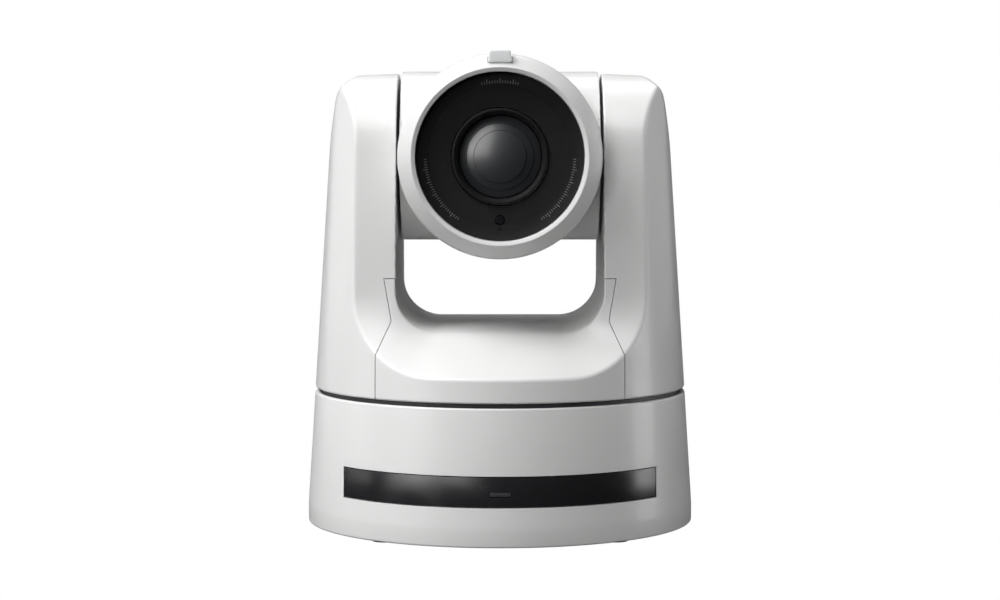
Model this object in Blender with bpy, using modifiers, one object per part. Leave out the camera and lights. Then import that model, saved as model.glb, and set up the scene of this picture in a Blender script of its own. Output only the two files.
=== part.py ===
"""A pan-tilt-zoom camera: a conical base, a forked pan head that turns on it, and a camera drum that tilts
between the arms of the fork. Metres, +Z up. The origin is on the pan axis at the underside of the feet, and
the lens looks along -Y. Left and right are as seen from in front of the lens, so left is -X."""

from math import asin, cos, pi, radians, sin, sqrt

import bmesh
import bpy
from mathutils import Matrix, Vector

MM = 0.001
GAP = 0.3 * MM  # running and seating clearance between neighbouring pieces
SEGMENTS = 48  # round a large turned piece
HEAD_SEGMENTS = 40  # round the drum, the lens ring and what they hold
FEW_SEGMENTS = 20  # round a small piece
FAR = 130 * MM  # beyond every face of the camera

# The conical body that the base and the pan head share
BASE_RADIUS = 85 * MM
SKIRT_TOP = 9 * MM
TAPER = 0.0638
BODY_BOTTOM = 1.3 * MM
BASE_TOP = 58 * MM
HEAD_BOTTOM = 60.6 * MM
BASE_WALL = 2.5 * MM
COVER_WALL = 2.2 * MM
SEAM_RADIUS = 79 * MM

# The window between the arms, and the flared face round it
TILT_AXIS = 162.2 * MM
WINDOW_HALF = 44.3 * MM
WINDOW_BOTTOM = 90 * MM
WINDOW_CORNER = 18 * MM
LIP_HEIGHT = 87 * MM
LIP_DEPTH = 50 * MM
FACE_HALF = 62.2 * MM
FACE_BOTTOM = 70.7 * MM
FACE_CORNER = 32.5 * MM
ARM_TOP = 198.4 * MM
ARM_DEPTH = 42.5 * MM
SADDLE_TOP = 110.5 * MM
BEVEL_DISTANCE = 74.25 * MM  # of the arms' corner bevels from the pan axis, at BEVEL_HEIGHT
BEVEL_HEIGHT = 165 * MM
BEVEL_LEAN = 0.0811
BEVEL_ANGLE = radians(25.7)

# The tilting head
DRUM_RADIUS = 37 * MM
DRUM_HALF = 43.1 * MM
HEAD_WALL = 2.2 * MM
HEAD_SPLIT = 6 * MM
BARREL_FRONT = -50 * MM
BARREL_REAR = -6 * MM
BARREL_RADIUS = 42.2 * MM
BARREL_REAR_RADIUS = 37.5 * MM
RING_RADIUS = 43 * MM
RING_FRONT = -66.5 * MM
LIP_RADIUS = 36.9 * MM
PLATE_RADIUS = 35.2 * MM
PLATE_FRONT = -60 * MM
LENS_TUBE_RADIUS = 20.3 * MM
LENS_TUBE_BORE = 17.6 * MM
LENS_TUBE_REAR = -10 * MM
TALLY_TOP = 206.8 * MM

# Drives
PAN_GEAR_TEETH = 60
PAN_PINION_TEETH = 12
GEAR_MODULE = 1 * MM
GEAR_BACKLASH = 0.35 * MM  # added to the centre distance
PULLEY_RADIUS = 16 * MM
MOTOR_PULLEY_RADIUS = 5 * MM
BELT_THICKNESS = 1 * MM
TILT_MOTOR_HEIGHT = 108 * MM
SHAFT_RADIUS = 6.7 * MM

# Base fittings
FOOT_RADIUS = 5.5 * MM
FOOT_HEIGHT = 2.7 * MM
FOOT_PLACE = (48.7 * MM, 57 * MM)
MOUNT_RADIUS = 58 * MM
WINDOW_BAND = (18.1 * MM, 30.6 * MM)
BAND_HALF = 66.1 * MM
LED_HALF = 4.3 * MM
LED_BAND = (22.5 * MM, 24.3 * MM)
PANEL_FACE = 72.5 * MM
PANEL_HALF = 33.7 * MM
PANEL_BAND = (9.3 * MM, 49.7 * MM)

for old in list(bpy.data.objects):
    bpy.data.objects.remove(old, do_unlink=True)

parts = bpy.data.collections.new("ptz_camera")
cutters = bpy.data.collections.new("cutters")
bpy.context.scene.collection.children.link(parts)
bpy.context.scene.collection.children.link(cutters)


# ---------------------------------------------------------------- materials


def material(name, colour, roughness, metallic=0.0):
    """A Principled material of one colour."""
    made = bpy.data.materials.new(name)
    made.use_nodes = True
    shader = made.node_tree.nodes["Principled BSDF"]
    shader.inputs["Base Color"].default_value = (*colour, 1.0)
    shader.inputs["Roughness"].default_value = roughness
    shader.inputs["Metallic"].default_value = metallic
    return made


WHITE = material("white_housing", (0.80, 0.80, 0.80), 0.38)
BLACK = material("black_plastic", (0.015, 0.015, 0.016), 0.45)
SEAM_GREY = material("dark_grey_plastic", (0.08, 0.08, 0.085), 0.6)
GLOSS_BLACK = material("smoked_window", (0.008, 0.008, 0.009), 0.06)
GLASS = material("lens_glass", (0.10, 0.12, 0.14), 0.02)
LAMP = material("frosted_lamp", (0.70, 0.71, 0.70), 0.35)
STEEL = material("steel", (0.55, 0.55, 0.56), 0.35, 1.0)
ALUMINIUM = material("aluminium", (0.70, 0.71, 0.72), 0.4, 1.0)
BOARD = material("circuit_board", (0.02, 0.16, 0.07), 0.5)
RUBBER = material("rubber", (0.02, 0.02, 0.02), 0.85)
ACETAL = material("acetal", (0.75, 0.74, 0.70), 0.45)
BRASS = material("brass", (0.72, 0.55, 0.25), 0.3, 1.0)


# ---------------------------------------------------------------- shape helpers


def named_body(name, place, carrier=None):
    """An empty on a joint's axis, which the pieces that move with it are parented to."""
    empty = bpy.data.objects.new(name, None)
    empty.location = place
    parts.objects.link(empty)
    if carrier is not None:
        attach(empty, carrier)
    return empty


def keep(obj, name, finish, body=None):
    """Makes an object a piece of the camera, with its material, moving with a body."""
    obj.name = name
    obj.hide_render = False
    obj.display_type = "TEXTURED"
    obj.data.materials.clear()
    obj.data.materials.append(finish)
    for group in list(obj.users_collection):
        group.objects.unlink(obj)
    parts.objects.link(obj)
    if body is not None:
        attach(obj, body)
    smooth(obj.data)
    return obj


def attach(obj, body):
    """Parents an object to a body's empty, leaving it where it is."""
    bpy.context.view_layer.update()
    obj.parent = body
    obj.matrix_parent_inverse = body.matrix_world.inverted()


def smooth(mesh):
    """Smooth shading with sharp edges kept at corners."""
    mesh.shade_smooth()
    mesh.set_sharp_from_angle(angle=radians(35))


def cutter(obj):
    """Makes an object a tool of the Booleans."""
    for group in list(obj.users_collection):
        group.objects.unlink(obj)
    cutters.objects.link(obj)
    obj.hide_render = True
    obj.display_type = "WIRE"
    return obj


def new_object(name, mesh):
    obj = bpy.data.objects.new(name, mesh)
    cutters.objects.link(obj)
    return cutter(obj)


def solid(obj):
    """Replaces an object by its evaluated mesh in world space, its loose caps welded."""
    bpy.context.view_layer.update()
    evaluated = obj.evaluated_get(bpy.context.evaluated_depsgraph_get())
    mesh = bpy.data.meshes.new_from_object(evaluated)
    mesh.transform(obj.matrix_world)
    made = bmesh.new()
    made.from_mesh(mesh)
    bmesh.ops.remove_doubles(made, verts=made.verts, dist=1e-6)
    bmesh.ops.recalc_face_normals(made, faces=made.faces)
    made.to_mesh(mesh)
    made.free()
    name = obj.name
    bpy.data.objects.remove(obj, do_unlink=True)
    return new_object(name, mesh)


def boolean(obj, tool, operation):
    modifier = obj.modifiers.new(operation.lower(), "BOOLEAN")
    modifier.operation = operation
    modifier.solver = "EXACT"
    modifier.object = tool
    return obj


def cut(obj, *tools):
    for tool in tools:
        boolean(obj, tool, "DIFFERENCE")
    return obj


def join(obj, *tools):
    for tool in tools:
        boolean(obj, tool, "UNION")
    return obj


def common(obj, *tools):
    for tool in tools:
        boolean(obj, tool, "INTERSECT")
    return obj


def block(name, low, high):
    """A box from its lowest and highest corners."""
    low, high = Vector(low), Vector(high)
    mesh = bpy.data.meshes.new(name)
    made = bmesh.new()
    bmesh.ops.create_cube(made, size=1.0)
    bmesh.ops.scale(made, vec=high - low, verts=made.verts)
    made.to_mesh(mesh)
    made.free()
    obj = new_object(name, mesh)
    obj.location = (low + high) / 2
    return obj


ALONG = {
    "X": Matrix.Rotation(pi / 2, 4, "Y"),
    "Y": Matrix.Rotation(-pi / 2, 4, "X"),
    "Z": Matrix.Identity(4),
}


def rod(name, axis, centre, radius, low, high, segments=FEW_SEGMENTS):
    """A cylinder along an axis. The centre's own value on that axis is replaced by low and high."""
    mesh = bpy.data.meshes.new(name)
    made = bmesh.new()
    bmesh.ops.create_cone(
        made, cap_ends=True, segments=segments, radius1=radius, radius2=radius, depth=high - low
    )
    made.to_mesh(mesh)
    made.free()
    obj = new_object(name, mesh)
    place = list(centre)
    place["XYZ".index(axis)] = (low + high) / 2
    obj.matrix_world = Matrix.Translation(place) @ ALONG[axis]
    return obj


def turned(name, axis, centre, profile, segments=SEGMENTS, half_step=False):
    """A profile of (radius, place along the axis) turned about it. A profile that starts and ends on the axis
    is left open, and any other is closed. It runs down the outer side, from the high end to the low one."""
    start = pi / segments if half_step else 0.0
    open_ended = profile[0][0] == 0 and profile[-1][0] == 0
    count = len(profile)
    edges = [(i, (i + 1) % count) for i in range(count - open_ended)]
    mesh = bpy.data.meshes.new(name)
    mesh.from_pydata([(r * cos(start), r * sin(start), h) for r, h in profile], edges, [])
    obj = new_object(name, mesh)
    screw = obj.modifiers.new("turn", "SCREW")
    screw.steps = screw.render_steps = segments
    screw.use_merge_vertices = True
    screw.merge_threshold = 1e-5
    screw.use_normal_calculate = False
    obj.matrix_world = Matrix.Translation(centre) @ ALONG[axis]
    return solid(obj)


def ring(name, axis, centre, bore, radius, low, high, segments=FEW_SEGMENTS):
    """A plain ring or bush of square section."""
    profile = [(radius, high), (radius, low), (bore, low), (bore, high)]
    return turned(name, axis, centre, profile, segments)


SHEET_TURN = {
    "X": Matrix(((0, 0, 1, 0), (1, 0, 0, 0), (0, 1, 0, 0), (0, 0, 0, 1))),
    "Y": Matrix(((1, 0, 0, 0), (0, 0, -1, 0), (0, 1, 0, 0), (0, 0, 0, 1))),
    "Z": Matrix.Identity(4),
}


def sheet(name, axis, outlines, low, high):
    """A flat outline with any holes, extruded along an axis from low to high. Across X the outline is in (y, z),
    across Y in (x, z) and across Z in (x, y)."""
    curve = bpy.data.curves.new(name, "CURVE")
    curve.dimensions = "2D"
    curve.fill_mode = "BOTH"
    curve.extrude = (high - low) / 2
    for outline in outlines:
        spline = curve.splines.new("POLY")
        spline.points.add(len(outline) - 1)
        for point, (u, v) in zip(spline.points, outline):
            point.co = (u, v, 0, 1)
        spline.use_cyclic_u = True
    obj = bpy.data.objects.new(name, curve)
    cutters.objects.link(obj)
    middle = (low + high) / 2
    shift = Vector([middle if letter == axis else 0 for letter in "XYZ"])
    obj.matrix_world = Matrix.Translation(shift) @ SHEET_TURN[axis]
    return solid(obj)


def arc(centre, radii, start, end, steps):
    """Points on an ellipse's arc, from one angle in degrees to another."""
    angles = [radians(start + (end - start) * i / steps) for i in range(steps + 1)]
    return [(centre[0] + radii[0] * cos(a), centre[1] + radii[1] * sin(a)) for a in angles]


def circle(centre, radius, steps=FEW_SEGMENTS):
    return arc(centre, (radius, radius), 0, 360 * (steps - 1) / steps, steps - 1)


def channel_outline(outer, inner, top, low, high):
    """A U-shaped folded plate in section: its half widths, its top, and its floor's two faces."""
    half = [(outer, top), (outer, low)]
    inside = [(inner, high), (inner, top)]
    return half + [(-u, v) for u, v in reversed(half)] + [(-u, v) for u, v in reversed(inside)] + inside


def mirrored(outline):
    """A half outline, from top to bottom on +u, with its mirror image on -u."""
    return outline + [(-u, v) for u, v in reversed(outline) if u != 0]


# ---------------------------------------------------------------- the conical body


def cone_radius(z):
    return BASE_RADIUS - max(0.0, z - SKIRT_TOP) * TAPER


def cone(name, low, high, inset=0.0):
    """The body's turned outer form between two heights, shrunk by an inset."""
    heights = sorted({low, high} | ({SKIRT_TOP} if low < SKIRT_TOP < high else set()), reverse=True)
    side = [(cone_radius(z) - inset, z) for z in heights]
    return turned(name, "Z", (0, 0, 0), [(0, high)] + side + [(0, low)])


def half_space(name, normal, distance):
    """A large block that fills the far side of a plane, given by its normal and its distance from the origin."""
    normal = Vector(normal)
    size = 2 * FAR
    obj = block(name, (-size, -size, 0), (size, size, size))
    obj.data.transform(Matrix.Translation(obj.location))
    turn = normal.to_track_quat("Z", "Y").to_matrix().to_4x4()
    obj.matrix_world = Matrix.Translation(normal.normalized() * distance / normal.length) @ turn
    return obj


def window_outline(grow=0.0):
    """The window between the arms, seen from in front, its bottom corners round."""
    half = WINDOW_HALF + grow
    bottom = WINDOW_BOTTOM - grow
    radius = WINDOW_CORNER + grow
    corner = arc((half - radius, bottom + radius), (radius, radius), 0, -90, 8)
    return mirrored([(half, FAR + TILT_AXIS)] + corner)


def u_path(half, bottom, radius, steps=8):
    """Points down the right side of a U and up its left side, the same number for any size of U."""
    top = ARM_TOP + 10 * MM
    straight = [(half, top), (half, TILT_AXIS), (half, (TILT_AXIS + bottom + radius) / 2)]
    corner = arc((half - radius, bottom + radius), (radius, radius), 0, -90, steps)
    level = [((half - radius) * share, bottom) for share in (0.66, 0.33, 0)]
    return mirrored(straight + corner + level)


def face_depth(x, z):
    return sqrt(cone_radius(z) ** 2 - x**2)


def flare(name, side, inset):
    """Everything in front of the flared face, which is ruled from the window's edge to a larger U on the cone."""
    inner = u_path(WINDOW_HALF, LIP_HEIGHT, WINDOW_CORNER)
    outer = u_path(FACE_HALF, FACE_BOTTOM, FACE_CORNER)
    sections = []
    for (x0, z0), (x1, z1) in zip(inner, outer):
        near = Vector((x0, -min(face_depth(FACE_HALF, z0), LIP_DEPTH), z0))
        far = Vector((x1, -face_depth(x1, z1), z1))
        slope = far - near
        start = near - slope * 0.3
        end = far + slope * 0.5
        front = [Vector((p.x, -FAR, p.z)) for p in (end, start)]
        sections.append([start, end] + front)
    made = bmesh.new()
    rows = [[made.verts.new(p) for p in section] for section in sections]
    for row, following in zip(rows, rows[1:]):
        for i in range(4):
            j = (i + 1) % 4
            made.faces.new((row[i], row[j], following[j], following[i]))
    made.faces.new(rows[0])
    made.faces.new(reversed(rows[-1]))
    bmesh.ops.triangulate(made, faces=made.faces)
    shift = Matrix.Translation((0, inset * 0.92, -inset * 0.92))
    bmesh.ops.transform(made, matrix=shift, verts=made.verts)
    bmesh.ops.transform(made, matrix=Matrix.Diagonal((1, side, 1, 1)), verts=made.verts)
    bmesh.ops.recalc_face_normals(made, faces=made.faces)
    mesh = bpy.data.meshes.new(name)
    made.to_mesh(mesh)
    made.free()
    return new_object(name, mesh)


def side_outline(inset):
    """The pan head seen from the side, with arms that round over about the tilt axis."""
    radii = (ARM_DEPTH - inset, ARM_TOP - TILT_AXIS - inset)
    top = arc((0, TILT_AXIS), radii, 90, 0, 10)
    lower = [(50 * MM - inset, SADDLE_TOP), (100 * MM, SADDLE_TOP), (100 * MM, 50 * MM)]
    return mirrored(top + lower)


def front_outline(inset):
    """The pan head seen from in front, with its top corners chamfered."""
    edge = [
        (0, ARM_TOP + 10 * MM),
        (58 * MM, ARM_TOP + 1.6 * MM),
        (63 * MM, 197.3 * MM),
        (70 * MM, 191.2 * MM),
        (71.3 * MM, 189 * MM),
        (72.3 * MM, 184 * MM),
        (74.6 * MM, 173 * MM),
        (90 * MM, 150 * MM),
        (90 * MM, 50 * MM),
    ]
    return mirrored([(x if x == 0 else x - inset, z - inset * (x < 71 * MM)) for x, z in edge])


def pan_head_form(name, inset):
    """The closed form of the fork before the window is cut, shrunk by an inset."""
    form = cone(name, HEAD_BOTTOM - inset, 205 * MM, inset)
    common(form, sheet(name + "_side", "X", [side_outline(inset)], -FAR, FAR))
    common(form, sheet(name + "_front", "Y", [front_outline(inset)], -FAR, FAR))
    for side in (1, -1):
        cut(form, flare(f"{name}_flare", side, inset))
        for way in (1, -1):
            normal = (way * cos(BEVEL_ANGLE), -side * sin(BEVEL_ANGLE), BEVEL_LEAN)
            distance = BEVEL_DISTANCE + BEVEL_HEIGHT * BEVEL_LEAN - inset
            cut(form, half_space(f"{name}_bevel", normal, distance))
    return solid(form)


def arm_region(side):
    """The part of the fork that one arm's cover takes, bounded by the parting line."""
    edge = [
        (WINDOW_HALF, 230 * MM),
        (WINDOW_HALF, SADDLE_TOP + GAP / 2),
        (49.4 * MM, SADDLE_TOP + GAP / 2),
        (46.2 * MM, 92.6 * MM),
        (52.5 * MM, 79 * MM),
        (52.5 * MM, 50 * MM),
        (FAR, 50 * MM),
        (FAR, 230 * MM),
    ]
    return sheet("arm_region", "Y", [[(side * x, z) for x, z in edge]], -FAR, FAR)


def saddle_region(side):
    """The part of the fork under the window that the front or rear saddle cover takes."""
    edge = [
        (49.4 * MM - GAP, SADDLE_TOP - GAP / 2),
        (46.2 * MM - GAP, 92.6 * MM),
        (52.5 * MM - GAP, 79 * MM),
        (52.5 * MM - GAP, 50 * MM),
    ]
    low, high = sorted((side * GAP / 2, side * FAR))
    return sheet("saddle_region", "Y", [mirrored(edge)], low, high)


# ---------------------------------------------------------------- gears and belt


def gear_outline(teeth, centre, turn=0.0):
    """A spur gear's outline with straight-flanked teeth."""
    pitch = teeth * GEAR_MODULE / 2
    root = pitch - 1.2 * GEAR_MODULE
    tip = pitch + 0.85 * GEAR_MODULE
    step = 2 * pi / teeth
    points = []
    for tooth in range(teeth):
        middle = turn + tooth * step
        for share, radius in ((-0.31, root), (-0.11, tip), (0.11, tip), (0.31, root)):
            angle = middle + share * step
            points.append((centre[0] + radius * cos(angle), centre[1] + radius * sin(angle)))
    return points


def belt_outline(low, low_radius, high, high_radius):
    """The tangent loop round two pulleys, one above the other, in (y, z)."""
    lean = asin((high_radius - low_radius) / (high - low))
    lean_degrees = lean * 180 / pi
    upper = arc((0, high), (high_radius, high_radius), -lean_degrees, 180 + lean_degrees, 20)
    lower = arc((0, low), (low_radius, low_radius), 180 + lean_degrees, 360 - lean_degrees, 12)
    return upper + lower


# ---------------------------------------------------------------- the base, which stays still

base_profile = [
    (cone_radius(BASE_TOP) - 0.8 * MM, BASE_TOP),
    (cone_radius(BASE_TOP - 0.8 * MM), BASE_TOP - 0.8 * MM),
    (BASE_RADIUS, SKIRT_TOP),
    (BASE_RADIUS, BODY_BOTTOM + 1 * MM),
    (BASE_RADIUS - 1 * MM, BODY_BOTTOM),
    (BASE_RADIUS - BASE_WALL, BODY_BOTTOM),
    (BASE_RADIUS - BASE_WALL, SKIRT_TOP),
    (cone_radius(BASE_TOP) - BASE_WALL, BASE_TOP),
]
base_shell = turned("base_shell", "Z", (0, 0, 0), base_profile)
panel_hole = block(
    "panel_hole",
    (-PANEL_HALF - GAP, 60 * MM, PANEL_BAND[0] - GAP),
    (PANEL_HALF + GAP, FAR, PANEL_BAND[1] + GAP),
)
band_hole = block(
    "band_hole",
    (-BAND_HALF - GAP, -FAR, WINDOW_BAND[0] - GAP),
    (BAND_HALF + GAP, 0, WINDOW_BAND[1] + GAP),
)
cut(base_shell, panel_hole, band_hole)
keep(base_shell, "base_shell", WHITE)

bottom_plate = rod("bottom_plate", "Z", (0, 0, 0), 82 * MM, 3 * MM, 4.8 * MM, SEGMENTS)
for slot in range(5):
    x = -52 * MM + slot * 6 * MM
    cut(bottom_plate, block("vent", (x, -12 * MM, 0), (x + 3 * MM, 12 * MM, 10 * MM)))
keep(bottom_plate, "bottom_plate", STEEL)

mounting_plate = rod(
    "mounting_plate", "Z", (0, 0, 0), MOUNT_RADIUS, 1.2 * MM, 2.7 * MM, SEGMENTS
)
cut(mounting_plate, rod("tripod_hole", "Z", (0, 0, 0), 3.2 * MM, 0, 5 * MM))
cut(mounting_plate, block("air_gap", (-55 * MM, -14 * MM, 0), (-23 * MM, 14 * MM, 5 * MM)))
keep(mounting_plate, "mounting_plate", ALUMINIUM)

for depth_name, side in (("front", -1), ("rear", 1)):
    for width_name, way in (("left", -1), ("right", 1)):
        centre = (way * FOOT_PLACE[0], side * FOOT_PLACE[1], 0)
        profile = [
            (0, FOOT_HEIGHT),
            (FOOT_RADIUS, FOOT_HEIGHT),
            (FOOT_RADIUS, 0.5 * MM),
            (FOOT_RADIUS - 0.5 * MM, 0),
            (0, 0),
        ]
        foot = turned("foot", "Z", centre, profile, 24)
        keep(foot, f"foot_{depth_name}_{width_name}", RUBBER)

band_low, band_high = WINDOW_BAND
band_profile = [
    (cone_radius(band_high) - 0.1 * MM, band_high),
    (cone_radius(band_low) - 0.1 * MM, band_low),
    (cone_radius(band_low) - 2.2 * MM, band_low),
    (cone_radius(band_high) - 2.2 * MM, band_high),
]
front_window = turned("front_window", "Z", (0, 0, 0), band_profile)
window_block = block(
    "window_block", (-BAND_HALF, -FAR, WINDOW_BAND[0] - MM), (BAND_HALF, 0, WINDOW_BAND[1] + MM)
)
common(front_window, window_block)
led_hole = block(
    "led_hole",
    (-LED_HALF - GAP, -FAR, LED_BAND[0] - GAP),
    (LED_HALF + GAP, 0, LED_BAND[1] + GAP),
)
cut(front_window, led_hole)
keep(front_window, "front_window", GLOSS_BLACK)

status_led = block("status_led", (-LED_HALF, -FAR, LED_BAND[0]), (LED_HALF, -78 * MM, LED_BAND[1]))
common(status_led, cone("led_front", 10 * MM, 40 * MM, 0.15 * MM))
keep(status_led, "status_led", LAMP)

top_ring_profile = [
    (SEAM_RADIUS, HEAD_BOTTOM - GAP),
    (SEAM_RADIUS, 55.5 * MM),
    (60 * MM, 55.5 * MM),
    (60 * MM, HEAD_BOTTOM - 2 * MM),
    (72 * MM, HEAD_BOTTOM - 2 * MM),
    (73 * MM, HEAD_BOTTOM - GAP),
]
keep(turned("top_ring", "Z", (0, 0, 0), top_ring_profile), "top_ring", SEAM_GREY)

DECK_LOW = 46.8 * MM
DECK_HIGH = 49 * MM
BEARING_HIGH = 51 * MM
MOTOR_PLACE = -((PAN_GEAR_TEETH + PAN_PINION_TEETH) * GEAR_MODULE / 2 + GEAR_BACKLASH)

base_deck = ring("base_deck", "Z", (0, 0, 0), 20.3 * MM, 76 * MM, DECK_LOW, DECK_HIGH, SEGMENTS)
cut(base_deck, rod("motor_hole", "Z", (0, MOTOR_PLACE, 0), 4.3 * MM, 40 * MM, 60 * MM))
cut(base_deck, block("panel_room", (-40 * MM, 60 * MM, 40 * MM), (40 * MM, FAR, 60 * MM)))
keep(base_deck, "base_deck", STEEL)

bearing_outer = ring(
    "pan_bearing_outer", "Z", (0, 0, 0), 13.4 * MM, 20 * MM, DECK_LOW, BEARING_HIGH
)
keep(bearing_outer, "pan_bearing_outer", STEEL)

pan_motor = turned(
    "pan_motor",
    "Z",
    (0, MOTOR_PLACE, 0),
    [
        (0, 55.2 * MM),
        (1.5 * MM, 55.2 * MM),
        (1.5 * MM, DECK_HIGH),
        (4 * MM, DECK_HIGH),
        (4 * MM, DECK_LOW - GAP),
        (11 * MM, DECK_LOW - GAP),
        (11 * MM, 24 * MM),
        (0, 24 * MM),
    ],
    FEW_SEGMENTS,
)
keep(pan_motor, "pan_motor", STEEL)

main_board = block("main_board", (-48 * MM, -50 * MM, 18 * MM), (48 * MM, 52 * MM, 19.6 * MM))
cut(main_board, block("fan_room", (-60 * MM, -18 * MM, 0), (-21 * MM, 18 * MM, 30 * MM)))
keep(main_board, "main_board", BOARD)

FAN_CENTRE = (-39 * MM, 0, 0)
FAN_LOW = 6 * MM
FAN_HIGH = 16 * MM
fan_frame = block(
    "fan_frame",
    (FAN_CENTRE[0] - 15 * MM, -15 * MM, FAN_LOW),
    (FAN_CENTRE[0] + 15 * MM, 15 * MM, FAN_HIGH),
)
cut(fan_frame, rod("fan_bore", "Z", FAN_CENTRE, 13.6 * MM, FAN_LOW + 1.5 * MM, 30 * MM))
for quarter in range(4):
    angle = pi / 4 + quarter * pi / 2
    vent = sheet(
        "fan_vent",
        "Z",
        [
            [
                (FAN_CENTRE[0] + r * cos(angle + a), r * sin(angle + a))
                for r, a in ((6 * MM, -0.5), (13 * MM, -0.62), (13 * MM, 0.62), (6 * MM, 0.5))
            ]
        ],
        0,
        10 * MM,
    )
    cut(fan_frame, vent)
keep(fan_frame, "fan_frame", BLACK)

# Rear connector panel: a tray that reaches the cone's surface, with sockets through its floor
panel_tray = block(
    "connector_panel",
    (-PANEL_HALF, PANEL_FACE - 2 * MM, PANEL_BAND[0]),
    (PANEL_HALF, FAR, PANEL_BAND[1]),
)
tray_room = block(
    "tray_room",
    (-PANEL_HALF + 1.8 * MM, PANEL_FACE, PANEL_BAND[0] + 1.8 * MM),
    (PANEL_HALF - 1.8 * MM, 2 * FAR, PANEL_BAND[1] - 1.8 * MM),
)
cut(panel_tray, tray_room)
common(panel_tray, cone("tray_trim", 4 * MM, 56 * MM, 0.5 * MM))

# Each socket: its name, place (x, z), half width, half height, and the half width and height of its mouth
SQUARE_SOCKETS = (
    ("lan_port", -22, 20.5, 7.6, 6.6, 5.9, 4.2),
    ("serial_port", -4.5, 20.5, 7.6, 6.6, 5.9, 4.2),
    ("hdmi_port", 15.5, 20.5, 8.6, 4.2, 7.0, 2.4),
)
ROUND_SOCKETS = (
    ("sdi_connector", -22, 38, 6.2, 3.6),
    ("dc_inlet", 22, 38, 6.0, 3.4),
    ("audio_jack", 7, 38, 4.2, 1.8),
)
SOCKET_BACK = 60 * MM
SOCKET_FRONT = 75 * MM
SOCKET_FLOOR = 67 * MM

for name, x, z, half_x, half_z, mouth_x, mouth_z in SQUARE_SOCKETS:
    x, z, half_x, half_z, mouth_x, mouth_z = (
        value * MM for value in (x, z, half_x, half_z, mouth_x, mouth_z)
    )
    body = block(name, (x - half_x, SOCKET_BACK, z - half_z), (x + half_x, SOCKET_FRONT, z + half_z))
    mouth = block(
        "mouth", (x - mouth_x, SOCKET_FLOOR, z - mouth_z), (x + mouth_x, FAR, z + mouth_z)
    )
    room = block(
        "room",
        (x - half_x - GAP, 50 * MM, z - half_z - GAP),
        (x + half_x + GAP, FAR, z + half_z + GAP),
    )
    cut(panel_tray, room)
    keep(cut(body, mouth), name, STEEL)

for name, x, z, radius, bore in ROUND_SOCKETS:
    centre = (x * MM, 0, z * MM)
    body = rod(name, "Y", centre, radius * MM, SOCKET_BACK, SOCKET_FRONT)
    mouth = rod("mouth", "Y", centre, bore * MM, SOCKET_FLOOR, FAR)
    if name == "sdi_connector":
        cut(body, rod("thin", "Y", centre, 0.9 * radius * MM, 30 * MM, SOCKET_BACK + 4 * MM))
    cut(panel_tray, rod("room", "Y", centre, radius * MM + GAP, 50 * MM, FAR))
    finish = STEEL if name == "sdi_connector" else BLACK
    keep(cut(body, mouth), name, finish)

RESET_PLACE = (-7.5 * MM, 0, 38 * MM)
RESET_RADIUS = 1.6 * MM
cut(panel_tray, rod("room", "Y", RESET_PLACE, RESET_RADIUS + GAP, 50 * MM, FAR, 16))
keep(panel_tray, "connector_panel", BLACK)

reset_body = named_body("reset_axis", (RESET_PLACE[0], PANEL_FACE, RESET_PLACE[2]))
reset_button = rod(
    "reset_button", "Y", RESET_PLACE, RESET_RADIUS, 64 * MM, PANEL_FACE - 0.4 * MM, 16
)
keep(reset_button, "reset_button", BLACK, reset_body)

fan_body = named_body("fan_axis", (FAN_CENTRE[0], 0, FAN_HIGH))
fan_rotor = rod("fan_rotor", "Z", FAN_CENTRE, 6 * MM, FAN_LOW + 1.8 * MM, FAN_HIGH - 0.5 * MM, 24)
for blade in range(7):
    vane = block(
        "vane", (5 * MM, -0.5 * MM, FAN_LOW + 2.6 * MM), (13 * MM, 0.5 * MM, FAN_HIGH - 1.2 * MM)
    )
    vane.data.transform(Matrix.Rotation(radians(35), 4, "X"))
    vane.matrix_world = (
        Matrix.Translation(FAN_CENTRE)
        @ Matrix.Rotation(blade * 2 * pi / 7, 4, "Z")
        @ Matrix.Translation(vane.location)
    )
    join(fan_rotor, vane)
keep(fan_rotor, "fan_rotor", BLACK, fan_body)

# ---------------------------------------------------------------- the pan head

pan = named_body("pan_axis", (0, 0, HEAD_BOTTOM))

HUB_RADIUS = 8.7 * MM
TURNTABLE_HIGH = 63.4 * MM
turntable = turned(
    "turntable",
    "Z",
    (0, 0, 0),
    [
        (77 * MM, TURNTABLE_HIGH),
        (77 * MM, 60.9 * MM),
        (HUB_RADIUS, 60.9 * MM),
        (HUB_RADIUS, 45 * MM),
        (5 * MM, 45 * MM),
        (5 * MM, TURNTABLE_HIGH),
    ],
)
keep(turntable, "turntable", ALUMINIUM, pan)

bearing_inner = ring(
    "pan_bearing_inner", "Z", (0, 0, 0), 9 * MM, 13.1 * MM, DECK_LOW, BEARING_HIGH
)
keep(bearing_inner, "pan_bearing_inner", STEEL, pan)

GEAR_LOW = 51.4 * MM
GEAR_HIGH = 55.2 * MM
pan_gear = sheet(
    "pan_gear",
    "Z",
    [gear_outline(PAN_GEAR_TEETH, (0, 0), -pi / 2), circle((0, 0), 9 * MM)],
    GEAR_LOW,
    GEAR_HIGH,
)
keep(pan_gear, "pan_gear", ACETAL, pan)

pinion_body = named_body("pan_pinion_axis", (0, MOTOR_PLACE, GEAR_LOW))
pinion_turn = pi / 2 + pi / PAN_PINION_TEETH
pan_pinion = sheet(
    "pan_pinion",
    "Z",
    [
        gear_outline(PAN_PINION_TEETH, (0, MOTOR_PLACE), pinion_turn),
        circle((0, MOTOR_PLACE), 1.8 * MM, 12),
    ],
    GEAR_LOW,
    GEAR_HIGH,
)
keep(pan_pinion, "pan_pinion", BRASS, pinion_body)

outer_form = pan_head_form("outer_form", 0.0)
inner_form = pan_head_form("inner_form", COVER_WALL)

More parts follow.
